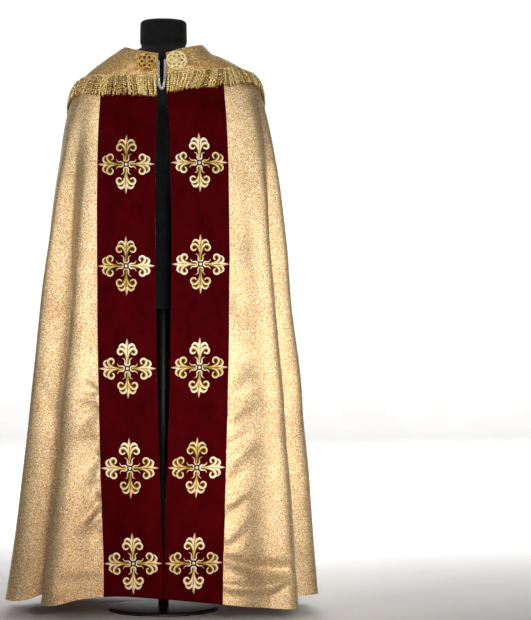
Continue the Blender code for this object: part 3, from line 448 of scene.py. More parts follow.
class Nodes:
    """A material whose nodes are written in a few lines; three numbers are a colour of 0-255."""

    def __init__(self, name, **sockets):
        self.material = bpy.data.materials.new(name)
        self.material.use_nodes = True
        self.tree = self.material.node_tree
        self.shader = self.tree.nodes["Principled BSDF"]
        self.finish(**sockets)

    def put(self, socket, value):
        if isinstance(value, bpy.types.NodeSocket):
            self.tree.links.new(value, socket)
        else:
            socket.default_value = srgb(*value) if socket.type == "RGBA" else value

    def add(self, kind, settings=None, **sockets):
        node = self.tree.nodes.new("ShaderNode" + kind)
        for key, value in (settings or {}).items():
            setattr(node, key, value)
        for socket, value in sockets.items():
            self.put(node.inputs[socket.replace("_", " ")], value)
        return node

    def place(self, scale=(1, 1, 1)):
        coordinates = self.add("TexCoord")
        return self.add("Mapping", Vector=coordinates.outputs["Object"], Scale=scale).outputs["Vector"]

    def noise(self, scale, detail=2.0, stretch=(1, 1, 1), rough=0.5):
        node = self.add("TexNoise", Vector=self.place(stretch), Scale=scale, Detail=detail, Roughness=rough)
        return node.outputs["Fac"]

    def waves(self, direction, vector, scale, distortion):
        node = self.add(
            "TexWave", {"bands_direction": direction}, Vector=vector, Scale=scale, Distortion=distortion
        )
        return node.outputs["Fac"]

    def ramp(self, fac, *stops):
        node = self.add("ValToRGB", Fac=fac)
        elements = node.color_ramp.elements
        while len(elements) < len(stops):
            elements.new(0.5)
        for element, (position, colour) in zip(elements, stops):
            element.position = position
            element.color = srgb(*colour)
        return node.outputs["Color"]

    def spread(self, fac, low, high, to_low=0.0, to_high=1.0):
        node = self.add("MapRange", Value=fac, From_Min=low, From_Max=high, To_Min=to_low, To_Max=to_high)
        return node.outputs["Result"]

    def math(self, operation, *values):
        node = self.add("Math", {"operation": operation})
        for socket, value in zip(node.inputs, values):
            self.put(socket, value)
        return node.outputs[0]

    def total(self, *weighted):
        """The sum of values, each times its weight."""
        first, *rest = [self.math("MULTIPLY", *pair) for pair in weighted]
        for part in rest:
            first = self.math("ADD", first, part)
        return first

    def mix(self, fac, first, second):
        node = self.add("Mix", {"data_type": "RGBA"})
        for number, value in zip(MIX_SOCKETS, (fac, first, second)):
            self.put(node.inputs[number], value)
        return node.outputs[2]

    def bump(self, height, distance, strength, under=None):
        node = self.add("Bump", Height=height, Distance=distance, Strength=strength)
        if under is not None:
            self.put(node.inputs["Normal"], under)
        return node.outputs["Normal"]

    def two_tone(self, fac, spread, low, high, normal):
        """A material of two colours that meet round the middle of a pattern."""
        colour = self.ramp(fac, (0.5 - spread, low), (0.5 + spread, high))
        return self.finish(Base_Color=colour, Normal=normal)

    def finish(self, **sockets):
        for socket, value in sockets.items():
            self.put(self.shader.inputs[socket.replace("_", " ")], value)
        return self.material


def gold_lame(name, light, middle, deep, painted_glint, metallic=0.78):
    """Glittering gold cloth: a fine metallic grain; the pale specks mixed into its colour are painted glints,
    points that catch the light one by one.
    """
    m = Nodes(name, Metallic=metallic, Sheen_Weight=0.06, Sheen_Roughness=0.45, Sheen_Tint=(255, 232, 196))
    grain = m.noise(540.0, rough=0.75)
    tone = m.total((m.noise(9.0, 3.0), 0.22), (grain, 0.78))
    colour = m.ramp(tone, (0.36, deep), (0.49, middle), (0.64, light))
    cells = m.add("TexVoronoi", Vector=m.place(), Scale=700.0)
    fine = m.add("SeparateColor", Color=cells.outputs["Color"])
    # pale cells of the grain: painted glints
    colour = m.mix(m.spread(fine.outputs["Red"], 0.74, 0.90, 0.0, 0.85), colour, painted_glint)
    colour = m.mix(m.spread(fine.outputs["Green"], 0.70, 0.88, 0.0, 0.90), colour, deep)
    under = m.bump(m.noise(800.0, rough=0.7), 0.0011, 0.8)
    normal = m.bump(m.noise(330.0), 0.0016, 0.5, under)
    return m.finish(Base_Color=colour, Roughness=m.spread(grain, 0.3, 0.7, 0.31, 0.44), Normal=normal)


def velvet(name, light, deep):
    """Cut pile: dark when seen straight on, with a paler bloom where it turns away or is brushed."""
    m = Nodes(name, Roughness=0.9, Sheen_Weight=0.08, Sheen_Roughness=0.30, Sheen_Tint=(190, 8, 20))
    brushed = m.noise(26.0, 4.0, (1.0, 1.0, 0.5), 0.6)
    pile = m.noise(1100.0)
    colour = m.ramp(m.total((brushed, 0.45), (pile, 0.55)), (0.34, deep), (0.66, light))
    normal = m.bump(brushed, 0.0018, 0.2, m.bump(pile, 0.0007, 0.6))
    return m.finish(Base_Color=colour, Normal=normal, Specular_IOR_Level=0.0)


def thread_metal(name, deep, middle, light):
    """Metal thread wound on a core: ridges run round the strand, from the uv map of the piece, and in its
    colour they are painted highlight on their crests and painted shade in their grooves.
    """
    m = Nodes(name, Metallic=0.55, Roughness=0.36)
    uv = m.add("UVMap", {"uv_map": "run"}).outputs["UV"]
    ridges = m.waves("DIAGONAL", uv, 114.0, 0.4)
    own = m.add("NewGeometry").outputs["Random Per Island"]
    # the ridges' share of the tone: painted highlight and shade of the winding
    tone = m.total((ridges, 0.28), (m.noise(230.0, rough=0.6), 0.62), (own, 0.22))
    colour = m.ramp(tone, (0.38, deep), (0.53, middle), (0.66, light))
    return m.finish(Base_Color=colour, Normal=m.bump(ridges, 0.0006, 0.7))


def satin_stitch(name):
    """Embroidery thread laid across each stroke: cream on its crown, olive gold down one flank, as painted
    highlight and painted shade.
    """
    m = Nodes(name, Metallic=0.20, Roughness=0.36, Specular_IOR_Level=0.2)
    uv = m.add("UVMap", {"uv_map": "run"}).outputs["UV"]
    split = m.add("SeparateXYZ", Vector=uv)
    thread = m.waves("X", uv, 310.0, 0.6)
    tone = m.total((split.outputs["Y"], 0.80), (m.noise(170.0, 3.0), 0.26))
    gold = m.ramp(
        tone,
        (0.05, (58, 40, 12)),
        (0.27, (136, 102, 30)),
        (0.44, (202, 168, 74)),
        (0.60, (250, 234, 174)),
        (0.80, (255, 252, 238)),
    )
    rose = m.ramp(tone, (0.10, (150, 100, 56)), (0.45, (226, 184, 138)), (0.85, (255, 240, 216)))
    colour = m.mix(m.math("GREATER_THAN", split.outputs["X"], ROSE_RUN / 2), gold, rose)
    colour = m.mix(m.math("MULTIPLY", thread, 0.22), colour, (132, 100, 40))
    return m.finish(Base_Color=colour, Normal=m.bump(thread, 0.0004, 0.8))


def cast_metal(name, deep, light, roughness, metallic):
    """Cast and gilded metal in uneven patches of two colours, with a slightly uneven polish; the dark copies
    made for the clasps' plates are painted shade of their recesses.
    """
    m = Nodes(name, Metallic=metallic)
    patches = m.noise(60.0, 4.0, rough=0.65)
    colour = m.ramp(patches, (0.36, deep), (0.62, light))
    rough = m.spread(patches, 0.3, 0.7, roughness + 0.12, roughness - 0.06)
    return m.finish(Base_Color=colour, Roughness=rough, Normal=m.bump(m.noise(900.0), 0.0003, 0.35))


def jersey(name, deep, light):
    """Fine knitted cover: tiny columns of loops."""
    m = Nodes(name, Roughness=0.9, Sheen_Weight=0.12, Sheen_Roughness=0.5, Specular_IOR_Level=0.2)
    knit = m.waves("Z", m.place(), 260.0, 1.5)
    return m.two_tone(m.noise(40.0, 3.0), 0.15, deep, light, m.bump(knit, 0.0004, 0.4))


def lining_satin(name, deep, light):
    m = Nodes(name, Roughness=0.38, Sheen_Weight=0.2)
    soft = m.noise(14.0, 4.0, (1, 1, 0.5))
    under = m.bump(m.noise(1200.0, 1.0, (1, 1, 0.25)), 0.0003, 0.4)
    return m.two_tone(soft, 0.15, deep, light, m.bump(soft, 0.003, 0.2, under))


def powder_coat(name, low, high):
    m = Nodes(name, Roughness=0.45, Metallic=0.1)
    grain = m.noise(700.0)
    return m.two_tone(grain, 0.1, low, high, m.bump(grain, 0.0003, 0.5))


def sewing_thread(name, deep, light):
    m = Nodes(name, Roughness=0.5, Sheen_Weight=0.2)
    return m.two_tone(m.noise(500.0), 0.1, deep, light, m.bump(m.noise(2500.0, 1.0), 0.0002, 0.5))


GOLD = gold_lame("gold_lame", (250, 228, 180), (218, 184, 128), (136, 88, 50), (255, 249, 228))
# the hood's gold is a darker, more saturated copy of the mantle's gold: painted shade on the hood and the
# neck binding
HOOD_GOLD_SHADED = gold_lame("gold_lame_hood_painted_shade", (255, 212, 126), (208, 154, 80), (88, 50, 18), (255, 249, 210), 0.45)
VELVET = velvet("crimson_velvet", (72, 4, 9), (40, 2, 4))
BULLION = thread_metal("gold_bullion", (88, 52, 12), (240, 190, 96), (255, 248, 190))
# the under layer is the same bullion in a darker copy: painted shade in the gaps between the strands in front
BULLION_UNDER_SHADED = thread_metal("gold_bullion_under_painted_shade", (52, 30, 8), (136, 92, 30), (240, 192, 96))
CORD = thread_metal("gimp_cord", (96, 66, 24), (206, 164, 86), (255, 232, 168))
SATIN = satin_stitch("gold_satin_stitch")
# the plates under the filigree are coloured dark as painted shade in the clasps' recesses; the right one is
# lighter, as the lit copy
CLASP_RECESS_SHADED = cast_metal("clasp_recess_painted_shade", (56, 30, 8), (116, 74, 24), 0.5, 0.6)
# one gold for both clasps, as a shaded and a lit copy: painted shade on the left clasp, painted highlight on
# the right
CLASP_GOLD_SHADED = cast_metal("clasp_gold_painted_shade", (176, 126, 50), (255, 220, 130), 0.32, 0.6)
CLASP_GOLD_LIT = cast_metal("clasp_gold_painted_light", (250, 226, 150), (255, 252, 216), 0.36, 0.35)
CLASP_RECESS_LIT = cast_metal("clasp_recess_painted_shade_lit", (136, 100, 44), (226, 188, 110), 0.5, 0.5)
SILVER = cast_metal("chain_silver", (176, 172, 170), (240, 238, 238), 0.26, 0.7)
JERSEY = jersey("form_black_jersey", (3, 3, 5), (12, 12, 14))
LINING = lining_satin("lining_satin", (96, 22, 26), (128, 34, 36))
BLACK_METAL = powder_coat("stand_black", (20, 20, 22), (34, 34, 36))
PINK_THREAD = sewing_thread("seam_thread", (232, 170, 156), (255, 222, 208))
GOLD_THREAD = sewing_thread("hem_thread", (170, 130, 78), (216, 180, 122))


# --- meshes ---
def new_object(name, vertices, faces, surface):
    mesh = bpy.data.meshes.new(name)
    mesh.from_pydata(np.asarray(vertices).tolist(), [], np.asarray(faces).tolist())
    mesh.shade_smooth()
    mesh.materials.append(surface)
    thing = bpy.data.objects.new(name, mesh)
    bpy.context.scene.collection.objects.link(thing)
    return thing


def add_piece(name, vertices, faces, surface, node=None, uv=None):
    """A mesh piece that rides on the one body and, where a node is named, takes its place."""
    piece = new_object(name, vertices, faces, surface)
    if uv is not None:
        layer = piece.data.uv_layers.new(name="run")
        corners = np.zeros(len(piece.data.loops), dtype=np.int32)
        piece.data.loops.foreach_get("vertex_index", corners)
        layer.data.foreach_set("uv", np.asarray(uv, dtype=np.float32)[corners].ravel())
    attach(piece, "root")
    if node:
        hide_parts(node)
    return piece


def grid_faces(rows, columns, flip=False, wrap=False):
    """Quads over a grid of points, facing outwards for cloth grids."""
    index = np.arange(rows * columns).reshape(rows, columns)
    if wrap:
        index = np.concatenate([index, index[:, :1]], axis=1)
    a, b = index[:-1, :-1].ravel(), index[:-1, 1:].ravel()
    c, d = index[1:, 1:].ravel(), index[1:, :-1].ravel()
    return np.stack([a, d, c, b] if flip else [a, b, c, d], axis=1)


def add_grid(name, grid, surface, node=None, flip=True, wrap=False):
    """A mesh piece from a grid of points."""
    return add_piece(name, grid.reshape(-1, 3), grid_faces(*grid.shape[:2], flip, wrap), surface, node)


def grid_area(grid):
    one = np.cross(grid[1:, 1:] - grid[:-1, :-1], grid[1:, :-1] - grid[:-1, 1:])
    return float(np.linalg.norm(one, axis=2).sum() / 2)


def circle(count):
    return np.linspace(0, TURN, count, endpoint=False)


TWIST = 0.0055  # length of one turn of a strand's winding, in the uv map of tubes
UP = (0.0, 0.0, 1.0)
EDGE_INSET = 0.02  # place steps, and 20 times the down steps, from a sheet's edge to its flat
EDGE_ROUNDING = 0.3  # share of a sheet's height that its edge is rounded over


class Bundle:
    """Gathers tubes, strokes and other parts into one mesh."""

    def __init__(self):
        self.points, self.faces, self.uvs, self.count = [], [], [], 0

    def grid(self, grid, uv, wrap=False, flip=False):
        self.points.append(grid.reshape(-1, 3))
        self.uvs.append(uv.reshape(-1, 2))
        self.faces.append(grid_faces(*grid.shape[:2], flip, wrap) + self.count)
        self.count += grid.shape[0] * grid.shape[1]

    def tube(self, path, radius, sides=6, up=UP, spin=0.0, closed=False):
        """A tube along a path; radius is one value or one for each point."""
        if closed:
            ahead = unit(np.roll(path, -1, axis=0) - np.roll(path, 1, axis=0))
        else:
            ahead = unit(np.gradient(path, axis=0))
        side = np.cross(ahead, up)
        side = unit(np.where(np.linalg.norm(side, axis=1, keepdims=True) < 1e-4, (1.0, 0.0, 0.0), side))
        top = np.cross(side, ahead)
        run = run_along(path)[:, None]
        turn = (circle(sides) + spin * run)[..., None]
        radius = np.broadcast_to(radius, len(path))[:, None, None]
        points = path[:, None] + radius * (np.cos(turn) * side[:, None] + np.sin(turn) * top[:, None])
        uv = stacked(run, circle(sides) / TURN * TWIST)
        if closed:
            points, uv = np.concatenate([points, points[:1]]), np.concatenate([uv, uv[:1]])
        self.grid(points, uv, wrap=True)

    def ball(self, centre, radius, rings=5, sides=8):
        polar = np.linspace(0.02, math.pi - 0.02, rings + 1)[:, None]
        around = circle(sides)
        shape = stacked(np.sin(polar) * np.cos(around), np.sin(polar) * np.sin(around), np.cos(polar))
        self.grid(centre + radius * shape, stacked(polar, around), wrap=True, flip=True)

    def piece(self, name, surface, slot, node=None):
        points, faces, uvs = (np.concatenate(part) for part in (self.points, self.faces, self.uvs))
        return add_piece(name, points, faces, surface, node, uvs)


def raised_lifts(count, low, high):
    """Lifts along one side of a raised sheet: up its edge, over a small rounding and down again."""
    lifts = np.full(count, high)
    lifts[[0, -1]] = low
    lifts[[1, -2]] = high - EDGE_ROUNDING * (high - low)
    return lifts


def edged(values, inset):
    """A line of values with its ends doubled and a second one just inside, for a rounded edge."""
    first, last = values[0], values[-1]
    inner = values[(values > first + inset * 1.2) & (values < last - inset * 1.2)]
    return np.concatenate([[first, first, first + inset], inner, [last - inset, last, last]])


def raised_sheet(name, places, downs, low, high, surface, slot, node, shape=None):
    """A sheet lying on the mantle whose edges turn down to it, with its area.

    Where there is a shape, it turns the downs, as shares, and the places into downs and added lifts.
    """
    places = edged(places, EDGE_INSET)
    downs = edged(downs, EDGE_INSET / 20)[:, None]
    lift = np.minimum(raised_lifts(len(places), low, high), raised_lifts(len(downs), low, high)[:, None])
    if shape:
        downs, more = shape(downs, places)
        lift = lift + more
    grid = cloth(places, downs, lift)
    return add_grid(name, grid, surface, node), grid_area(grid)


# --- mantle and lining ---
HEM_TURNED = 0.022  # depth of cloth turned up inside the hem
# rows of the meshes, those of the mantle closer at its hem
MANTLE_DOWNS = np.concatenate([np.linspace(0.0, 0.992, 236), (0.995, 0.9975, 0.9992, 1.0)])[:, None]
LINING_DOWNS = np.linspace(0.0, 1.0 - HEM_TURNED / 1.9, 120)[:, None]
LINING_GAP = 0.0005
HEM_UP = 1.0 - HEM_TURNED / 1.5  # down of its raw edge
HEM_ROLL, HEM_ROLL_DEPTH = 0.0009, 0.006  # how far the hem's edge swells, and over how much down
# the turned hem: down, and depth as a share of the cloth's thickness
HEM_INSIDE = ((1.0, 0.35), (0.9995, 0.75), (0.997, 1.0), (HEM_UP, 1.0))
PUCKERS_END = 13  # place where the mesh's finest columns end


def mantle_places():
    """Columns of the mantle's mesh: finest over the front sides, where the puckers are."""
    front = np.linspace(BAND_END, PUCKERS_END, 76)
    side = np.linspace(PUCKERS_END, PANEL_FIRST, 82)[1:]
    half = np.concatenate([np.linspace(0, BAND_END, 9)[:-1], front, side])
    panel = np.linspace(PANEL_FIRST, PANEL_LAST, 32)[1:-1]
    return np.concatenate([half, panel, CELLS - half[::-1]])


def build_mantle():
    """The gold cloth with its rolled hem turned up inside, and the lining, each with its area."""
    places = edged(mantle_places(), EDGE_INSET)
    lift = HEM_ROLL * np.exp(-(((1.0 - MANTLE_DOWNS) / HEM_ROLL_DEPTH) ** 2)) + 0 * places
    lift[:, [0, -1]] = -CLOTH
    top = cloth(places, MANTLE_DOWNS, lift)
    turned = [cloth(places, down, -CLOTH * depth) for down, depth in HEM_INSIDE]
    mantle = add_grid("mantle_shell", np.concatenate([top, turned]), GOLD, "mantle")
    inner = cloth(mantle_places(), LINING_DOWNS, -CLOTH - LINING_GAP)
    lining = add_grid("lining", inner, LINING, flip=False)
    return mantle, grid_area(top), lining, grid_area(inner)


BAND_COLUMNS, BAND_ROWS = 29, 200
BAND_LIFTS = (0.0001, SEAM + CLOTH)  # of a band's edge and of its face


def build_orphreys():
    bands = []
    downs = np.linspace(ORPHREY_TOP, 1.0, BAND_ROWS)
    for node, first in (("orphrey_left", 0), ("orphrey_right", SECOND_BAND)):
        places = np.linspace(first, first + BAND_CELLS, BAND_COLUMNS)
        band, _ = raised_sheet(node + "_velvet", places, downs, *BAND_LIFTS, VELVET, "velvet", node)
        bands.append(band)
    return bands


HOOD_ROWS = 56
HOOD_LIFTS = (0.0003, HOOD_LIFT + CLOTH)
HOOD_CUT = 0.01  # place steps left free between the hood's gold sides and its panel
# the hood's pieces: node, first and last place, columns, material, slot
HOOD_PIECES = (
    ("hood_left", 0.0, PANEL_FIRST - HOOD_CUT, 170, HOOD_GOLD_SHADED, "gold_cloth"),
    ("hood_panel", PANEL_FIRST + HOOD_CUT, PANEL_LAST - HOOD_CUT, 48, VELVET, "velvet"),
    ("hood_right", PANEL_LAST + HOOD_CUT, CELLS, 170, HOOD_GOLD_SHADED, "gold_cloth"),
)
HOOD_CALM = (0.1, 0.15)  # shares at its neck and at its lower edge in which the waves grow
RIPPLE = 0.0008
# waves of the hood: height as a share of the ripple, turn by place, by down and at the start
RIPPLES = ((0.5, 1.9, 5, 0.0), (0.3, 3.7, 11, 1.3), (0.2, 0.9, 30, 0.0))
PULL, PULL_RADIUS, PULL_WIDTH, PULL_RAYS = 0.0011, 0.036, 0.020, 5  # creases round a clasp
MANTLE_HEIGHT = 1.15  # metres of height to one down, near the clasps


def hood_ripple(place, down):
    """The hood stands off the mantle in soft uneven waves."""
    return RIPPLE * (1.0 + sum(high * np.sin(place * a + b * down + start) for high, a, b, start in RIPPLES))


def clasp_pull(place, down):
    """Short tension creases that fan out from under each clasp."""
    total = 0.0
    for side, phase in (("left", 0.6), ("right", 2.1)):
        centre_place, centre_down = CLASP_CENTRES[side]
        a = (place - centre_place) * ORPHREY_WIDTH / BAND_CELLS
        b = (down - centre_down) * MANTLE_HEIGHT
        ring = np.exp(-(((np.hypot(a, b) - PULL_RADIUS) / PULL_WIDTH) ** 2))
        total = total + PULL * ring * (1 + np.sin(np.arctan2(b, a) * PULL_RAYS + phase))
    return total


def clasp_centre(side):
    """Place and down of a clasp, from its x and height on the front."""
    x, height = CLASP_PLACES[side]
    places = np.linspace(0, BAND_CELLS, 400) + (0 if side == "left" else SECOND_BAND)
    downs = down_at_height(places, height)
    best = np.argmin(np.abs(cloth(places, downs, HOOD_LIFT + CLOTH)[:, 0] - x))
    return float(places[best]), float(downs[best])


CLASP_CENTRES = {side: clasp_centre(side) for side in CLASP_PLACES}


def hood_shape(share, place):
    """Downs of the hood's points, and how far its waves lift them."""
    down = share * hood_down(place)
    calm = ease(share / HOOD_CALM[0]) * ease((1 - share) / HOOD_CALM[1])
    return down, np.where(share < 1, calm * (hood_ripple(place, down) + clasp_pull(place, down)), 0.0)


def build_hood():
    made = {}
    for node, first, last, columns, surface, slot in HOOD_PIECES:
        lines = np.linspace(first, last, columns), np.linspace(0, 1, HOOD_ROWS)
        made[node] = raised_sheet(node + "_shell", *lines, *HOOD_LIFTS, surface, slot, node, hood_shape)
    return made


# --- edge trims and stitching ---
ROPE_STEPS = 9  # rings in one turn of a rope
BINDING_DOWN, BINDING_LIFT, BINDING_RADIUS = 0.0015, 0.0012, 0.0024
# the header cord: down below the hood's edge, lift; radius of its rope, of a strand, pitch
HEADER_CORD_AT = (0.0022, 0.0050)
HEADER_CORD = (0.00085, 0.00095, 0.0062)
STITCH_ASIDE = 0.03  # place steps from a seam
BAND_STITCHES_FROM, BAND_STITCHES_TO = ORPHREY_TOP + 0.035, 0.996
STITCH_SKEW = (0.3, 0.9, 0.1)
STITCH_PITCH = 0.0046
STITCH_LENGTH = 0.0031
# rings of a seam stitch: share of its length, rise over the cloth, radius
STITCH_RUN = np.array((0.0, 0.15, 0.5, 0.85, 1.0))
STITCH_RISE = 0.0005 * np.array((-0.8, 0.3, 0.8, 0.3, -0.8))
STITCH_RADII = 0.00065 * np.array((0.5, 1.0, 1.1, 1.0, 0.5))
# and of a hem stitch
PRICK_PITCH = 0.0092
PRICK_RADIUS = 0.00035
PRICK_RUN = 0.0018 * np.array((0.0, 0.3, 0.7, 1.0))
PRICK_RISE = 0.0004 * np.array((-0.6, 0.6, 0.6, -0.6))


def build_neck_binding():
    """A narrow rolled edge round the neckline, over the raw edges of mantle and hood."""
    bundle = Bundle()
    bundle.tube(cloth(np.linspace(0, CELLS, 420), BINDING_DOWN, BINDING_LIFT), BINDING_RADIUS, sides=8)
    bundle.piece("neck_binding", HOOD_GOLD_SHADED, "gold_cloth")


def rope(bundle, path, radius, strand, pitch, up=UP):
    """Two strands twisted round a path."""
    run = run_along(path)
    at = np.linspace(0, run[-1], int(run[-1] / pitch * ROPE_STEPS))
    line = np.stack([np.interp(at, run, path[:, k]) for k in range(3)], axis=1)
    ahead = unit(np.gradient(line, axis=0))
    side = unit(np.cross(ahead, up))
    top = np.cross(side, ahead)
    for phase in (0.0, math.pi):
        turn = (TURN * at / pitch + phase)[:, None]
        bundle.tube(line + radius * (np.cos(turn) * side + np.sin(turn) * top), strand, 5, up)


def hood_edge_places(count):
    """Even steps along the hood's whole edge, as places and downs, and its length."""
    fine = np.linspace(0.0, CELLS, 2400)
    downs = hood_down(fine)
    run = run_along(cloth(fine, downs, 0.004))
    places = np.interp(np.linspace(0, run[-1], count), run, fine)
    return places, np.interp(places, fine, downs), run[-1]


def build_header_cord():
    """A twisted cord laid along the top of the fringe."""
    places, downs, _ = hood_edge_places(900)
    below, lift = HEADER_CORD_AT
    bundle = Bundle()
    rope(bundle, cloth(places, downs + below, lift), *HEADER_CORD)
    bundle.piece("fringe_header_cord", CORD, "bullion")


def stitch_line(bundle, place, down_from, down_to, lift):
    """A row of stitches down the line of one place."""
    fine = np.linspace(down_from, down_to, 700)
    run = run_along(cloth(place, fine, lift))
    for start in np.arange(0.002, run[-1] - STITCH_PITCH, STITCH_PITCH):
        downs = np.interp(start + STITCH_LENGTH * STITCH_RUN, run, fine)
        bundle.tube(cloth(place, downs, lift + STITCH_RISE), STITCH_RADII, 5, STITCH_SKEW)


def build_seam_stitches():
    bundle = Bundle()
    for place in (BAND_END + STITCH_ASIDE, SECOND_BAND - STITCH_ASIDE):
        stitch_line(bundle, place, BAND_STITCHES_FROM, BAND_STITCHES_TO, 0.0012)
    edge_down = hood_down(PANEL_FIRST)
    for place in (PANEL_FIRST - STITCH_ASIDE, PANEL_LAST + STITCH_ASIDE):
        stitch_line(bundle, place, 0.004, edge_down - 0.004, HOOD_LIFT + CLOTH + 0.0008)
    bundle.piece("seam_stitches", PINK_THREAD, "gold_cloth")


def build_hem_stitches():
    """Small prick stitches that hold the turned hem."""
    bundle = Bundle()
    fine = np.linspace(BAND_END + 0.2, SECOND_BAND - 0.2, 2400)
    down = HEM_UP + 0.002
    run = run_along(cloth(fine, down))
    for start in np.arange(0.004, run[-1] - 0.01, PRICK_PITCH):
        places = np.interp(start + PRICK_RUN, run, fine)
        bundle.tube(cloth(places, down, PRICK_RISE), PRICK_RADIUS, 4)
    return bundle.piece("hem_stitches", GOLD_THREAD, "gold_cloth")


# --- fringe ---
STRAND_PITCH = 0.0052
STRAND_RADIUS = 0.00185
STRAND_RINGS = 38
STRAND_LUMPS = 9.5  # lumps of twisted bullion along a strand
STRAND_TAPER = np.concatenate([[0.6], np.ones(STRAND_RINGS - 4), [1.08, 0.95, 0.35]])
# layers of strands: name, lift at the header, share of the length, material
STRAND_LAYERS = (("under", 0.0042, 1.00, BULLION_UNDER_SHADED), ("over", 0.0068, 0.95, BULLION))
HEADER_LOW = 0.0008 + FRINGE_HEADER / 1.5
# section of the woven strip, from top to bottom: down below the hood's edge, lift
HEADER_ROWS = (
    (0.0008, 0.0030),
    (0.0008, 0.0044),
    ((0.0008 + HEADER_LOW) / 2, 0.0050),
    (HEADER_LOW, 0.0044),
    (HEADER_LOW, 0.0030),
)
# how a strand may differ: shift and lean as shares of the gap, longer as a share, then lift and sway
STRAND_SHIFT, STRAND_LEAN, STRAND_LONGER = (-0.24, 0.24), (-0.5, 0.5), (-0.07, 0.03)
STRAND_RISE, STRAND_SWAY = (-0.0008, 0.0010), (0.25, 1.0)
FRONT_SWAY, MORE_SWAY, SWAY_GROWS = 0.35, 1.05, 3.0  # at the front, added behind, over how many places
# waver of a strand: sideways as shares and turns, and its size; outwards as turns, and its size
CURLS_SIDE, CURL_SIDE = ((1.0, 3.2), (0.7, 5.7)), 0.0012
CURLS_OUT, CURL_OUT = 4.2, 0.0009
STRAND_SINKS = 0.0008
STRAND_EDGE = 0.03  # place steps kept free at the front edges
STRAND_BELOW = 0.0030  # down from the hood's edge to the strands' start
STRAND_SKEW = (0.2, -0.3, 0.1)
STRAND_SPIN = 150.0
STRAND_LUMP = 0.30
PLUMB = np.array((0.0, 0.0, -1.0))
PLUMB_WITHIN = 1.2  # places from the middle of the back in which strands hang straight down
PLACE_STEP, DOWN_STEP = 0.1, 0.004
SLIDE_RUN = np.linspace(0.0, 1.0, 9)[:, None]


def hanging_direction(places, downs):
    """Which way the strands hang: between straight down and square to the edge."""
    ahead, behind = (cloth(places + s, hood_down(np.clip(places + s, 0, CELLS))) for s in (0.02, -0.02))
    across = np.cross(cloth_normal(places, downs), unit(ahead - behind))
    across *= np.sign(-across[:, 2:3])
    straight = np.exp(-(((places - BACK_CENTRE) / PLUMB_WITHIN) ** 2))[:, None]
    return (across + PLUMB) / 2 * (1 - straight) + PLUMB * straight


def slide(places, downs, way, length):
    """Places and downs after going a length over the cloth in a direction of space."""
    by_place = cloth(places + PLACE_STEP, downs) - cloth(places - PLACE_STEP, downs)
    by_place = by_place / (2 * PLACE_STEP)
    by_down = (cloth(places, downs + DOWN_STEP) - cloth(places, downs)) / DOWN_STEP
    basis = np.stack([by_place, by_down], axis=-1)
    steps = np.einsum("nij,nj->ni", np.linalg.pinv(basis), way)
    steps *= (length / np.linalg.norm(np.einsum("nij,nj->ni", basis, steps), axis=1))[:, None]
    path = cloth(places + steps[:, 0] * SLIDE_RUN, downs + steps[:, 1] * SLIDE_RUN)
    scale = length / np.linalg.norm(np.diff(path, axis=0), axis=2).sum(axis=0)
    return places + steps[:, 0] * scale, downs + steps[:, 1] * scale


def build_fringe(side):
    """Bullion strands in two layers, each a twisted square-sided cord with its own waver."""
    count = int(hood_edge_places(50)[2] / 2 / STRAND_PITCH)
    places = hood_edge_places(2 * count + 1)[0]
    half = slice(0, count) if side == "left" else slice(count, 2 * count)
    middles = ((places[1:] + places[:-1]) / 2)[half]
    gap = np.diff(places)[half]
    dice = np.random.default_rng(21 if side == "left" else 34)
    run = np.linspace(0, 1, STRAND_RINGS)[:, None]
    for layer, (layer_name, lift, share, surface) in enumerate(STRAND_LAYERS):
        bundle = Bundle()
        shift = 0.5 * layer + dice.uniform(*STRAND_SHIFT, count)
        at = np.clip(middles + gap * shift, STRAND_EDGE, CELLS - STRAND_EDGE)
        downs = hood_down(at) + STRAND_BELOW
        way = hanging_direction(at, downs)
        length = FRINGE_LENGTH * (share + dice.uniform(*STRAND_LONGER, count))
        end_place, end_down = slide(at, downs, way, length)
        lean = dice.uniform(*STRAND_LEAN, count) * gap
        phase = dice.uniform(0, TURN, (count, 3))
        sway = dice.uniform(*STRAND_SWAY, count)
        sway = sway * (FRONT_SWAY + MORE_SWAY * ease(np.minimum(at, CELLS - at) / SWAY_GROWS))
        rise = dice.uniform(*STRAND_RISE, count)
        curl = sum(c * np.sin(run * TURN * n + phase[:, k]) for k, (c, n) in enumerate(CURLS_SIDE))
        wave = CURL_OUT * sway * np.cos(run * TURN * CURLS_OUT + phase[:, 0])
        out = lift + rise + wave - STRAND_SINKS * run
        path = cloth(at + (end_place - at) * run + lean * run**1.5, downs + (end_down - downs) * run, out)
        path = path + (CURL_SIDE * sway * curl)[..., None] * unit(np.cross(cloth_normal(at, downs), way))
        for k in range(count):
            lumps = 1 + STRAND_LUMP * np.sin(run[:, 0] * TURN * STRAND_LUMPS + phase[k, 2])
            bundle.tube(path[:, k], STRAND_RADIUS * STRAND_TAPER * lumps, 4, STRAND_SKEW, STRAND_SPIN)
        node = "fringe_" + side
        bundle.piece(f"{node}_{layer_name}", surface, "bullion", node if layer_name == "over" else None)


def build_fringe_header():
    """The woven strip that the strands hang from."""
    places, downs, _ = hood_edge_places(700)
    grid = np.array([cloth(places, downs + drop, lift) for drop, lift in HEADER_ROWS])
    uv = stacked(np.linspace(0, 2.0, len(places)), np.linspace(0, 0.01, len(grid))[:, None])
    bundle = Bundle()
    bundle.grid(grid, uv, flip=True)
    bundle.piece("fringe_header", CORD, "bullion")


# --- embroidered crosses ---
RELIEF = 0.0015
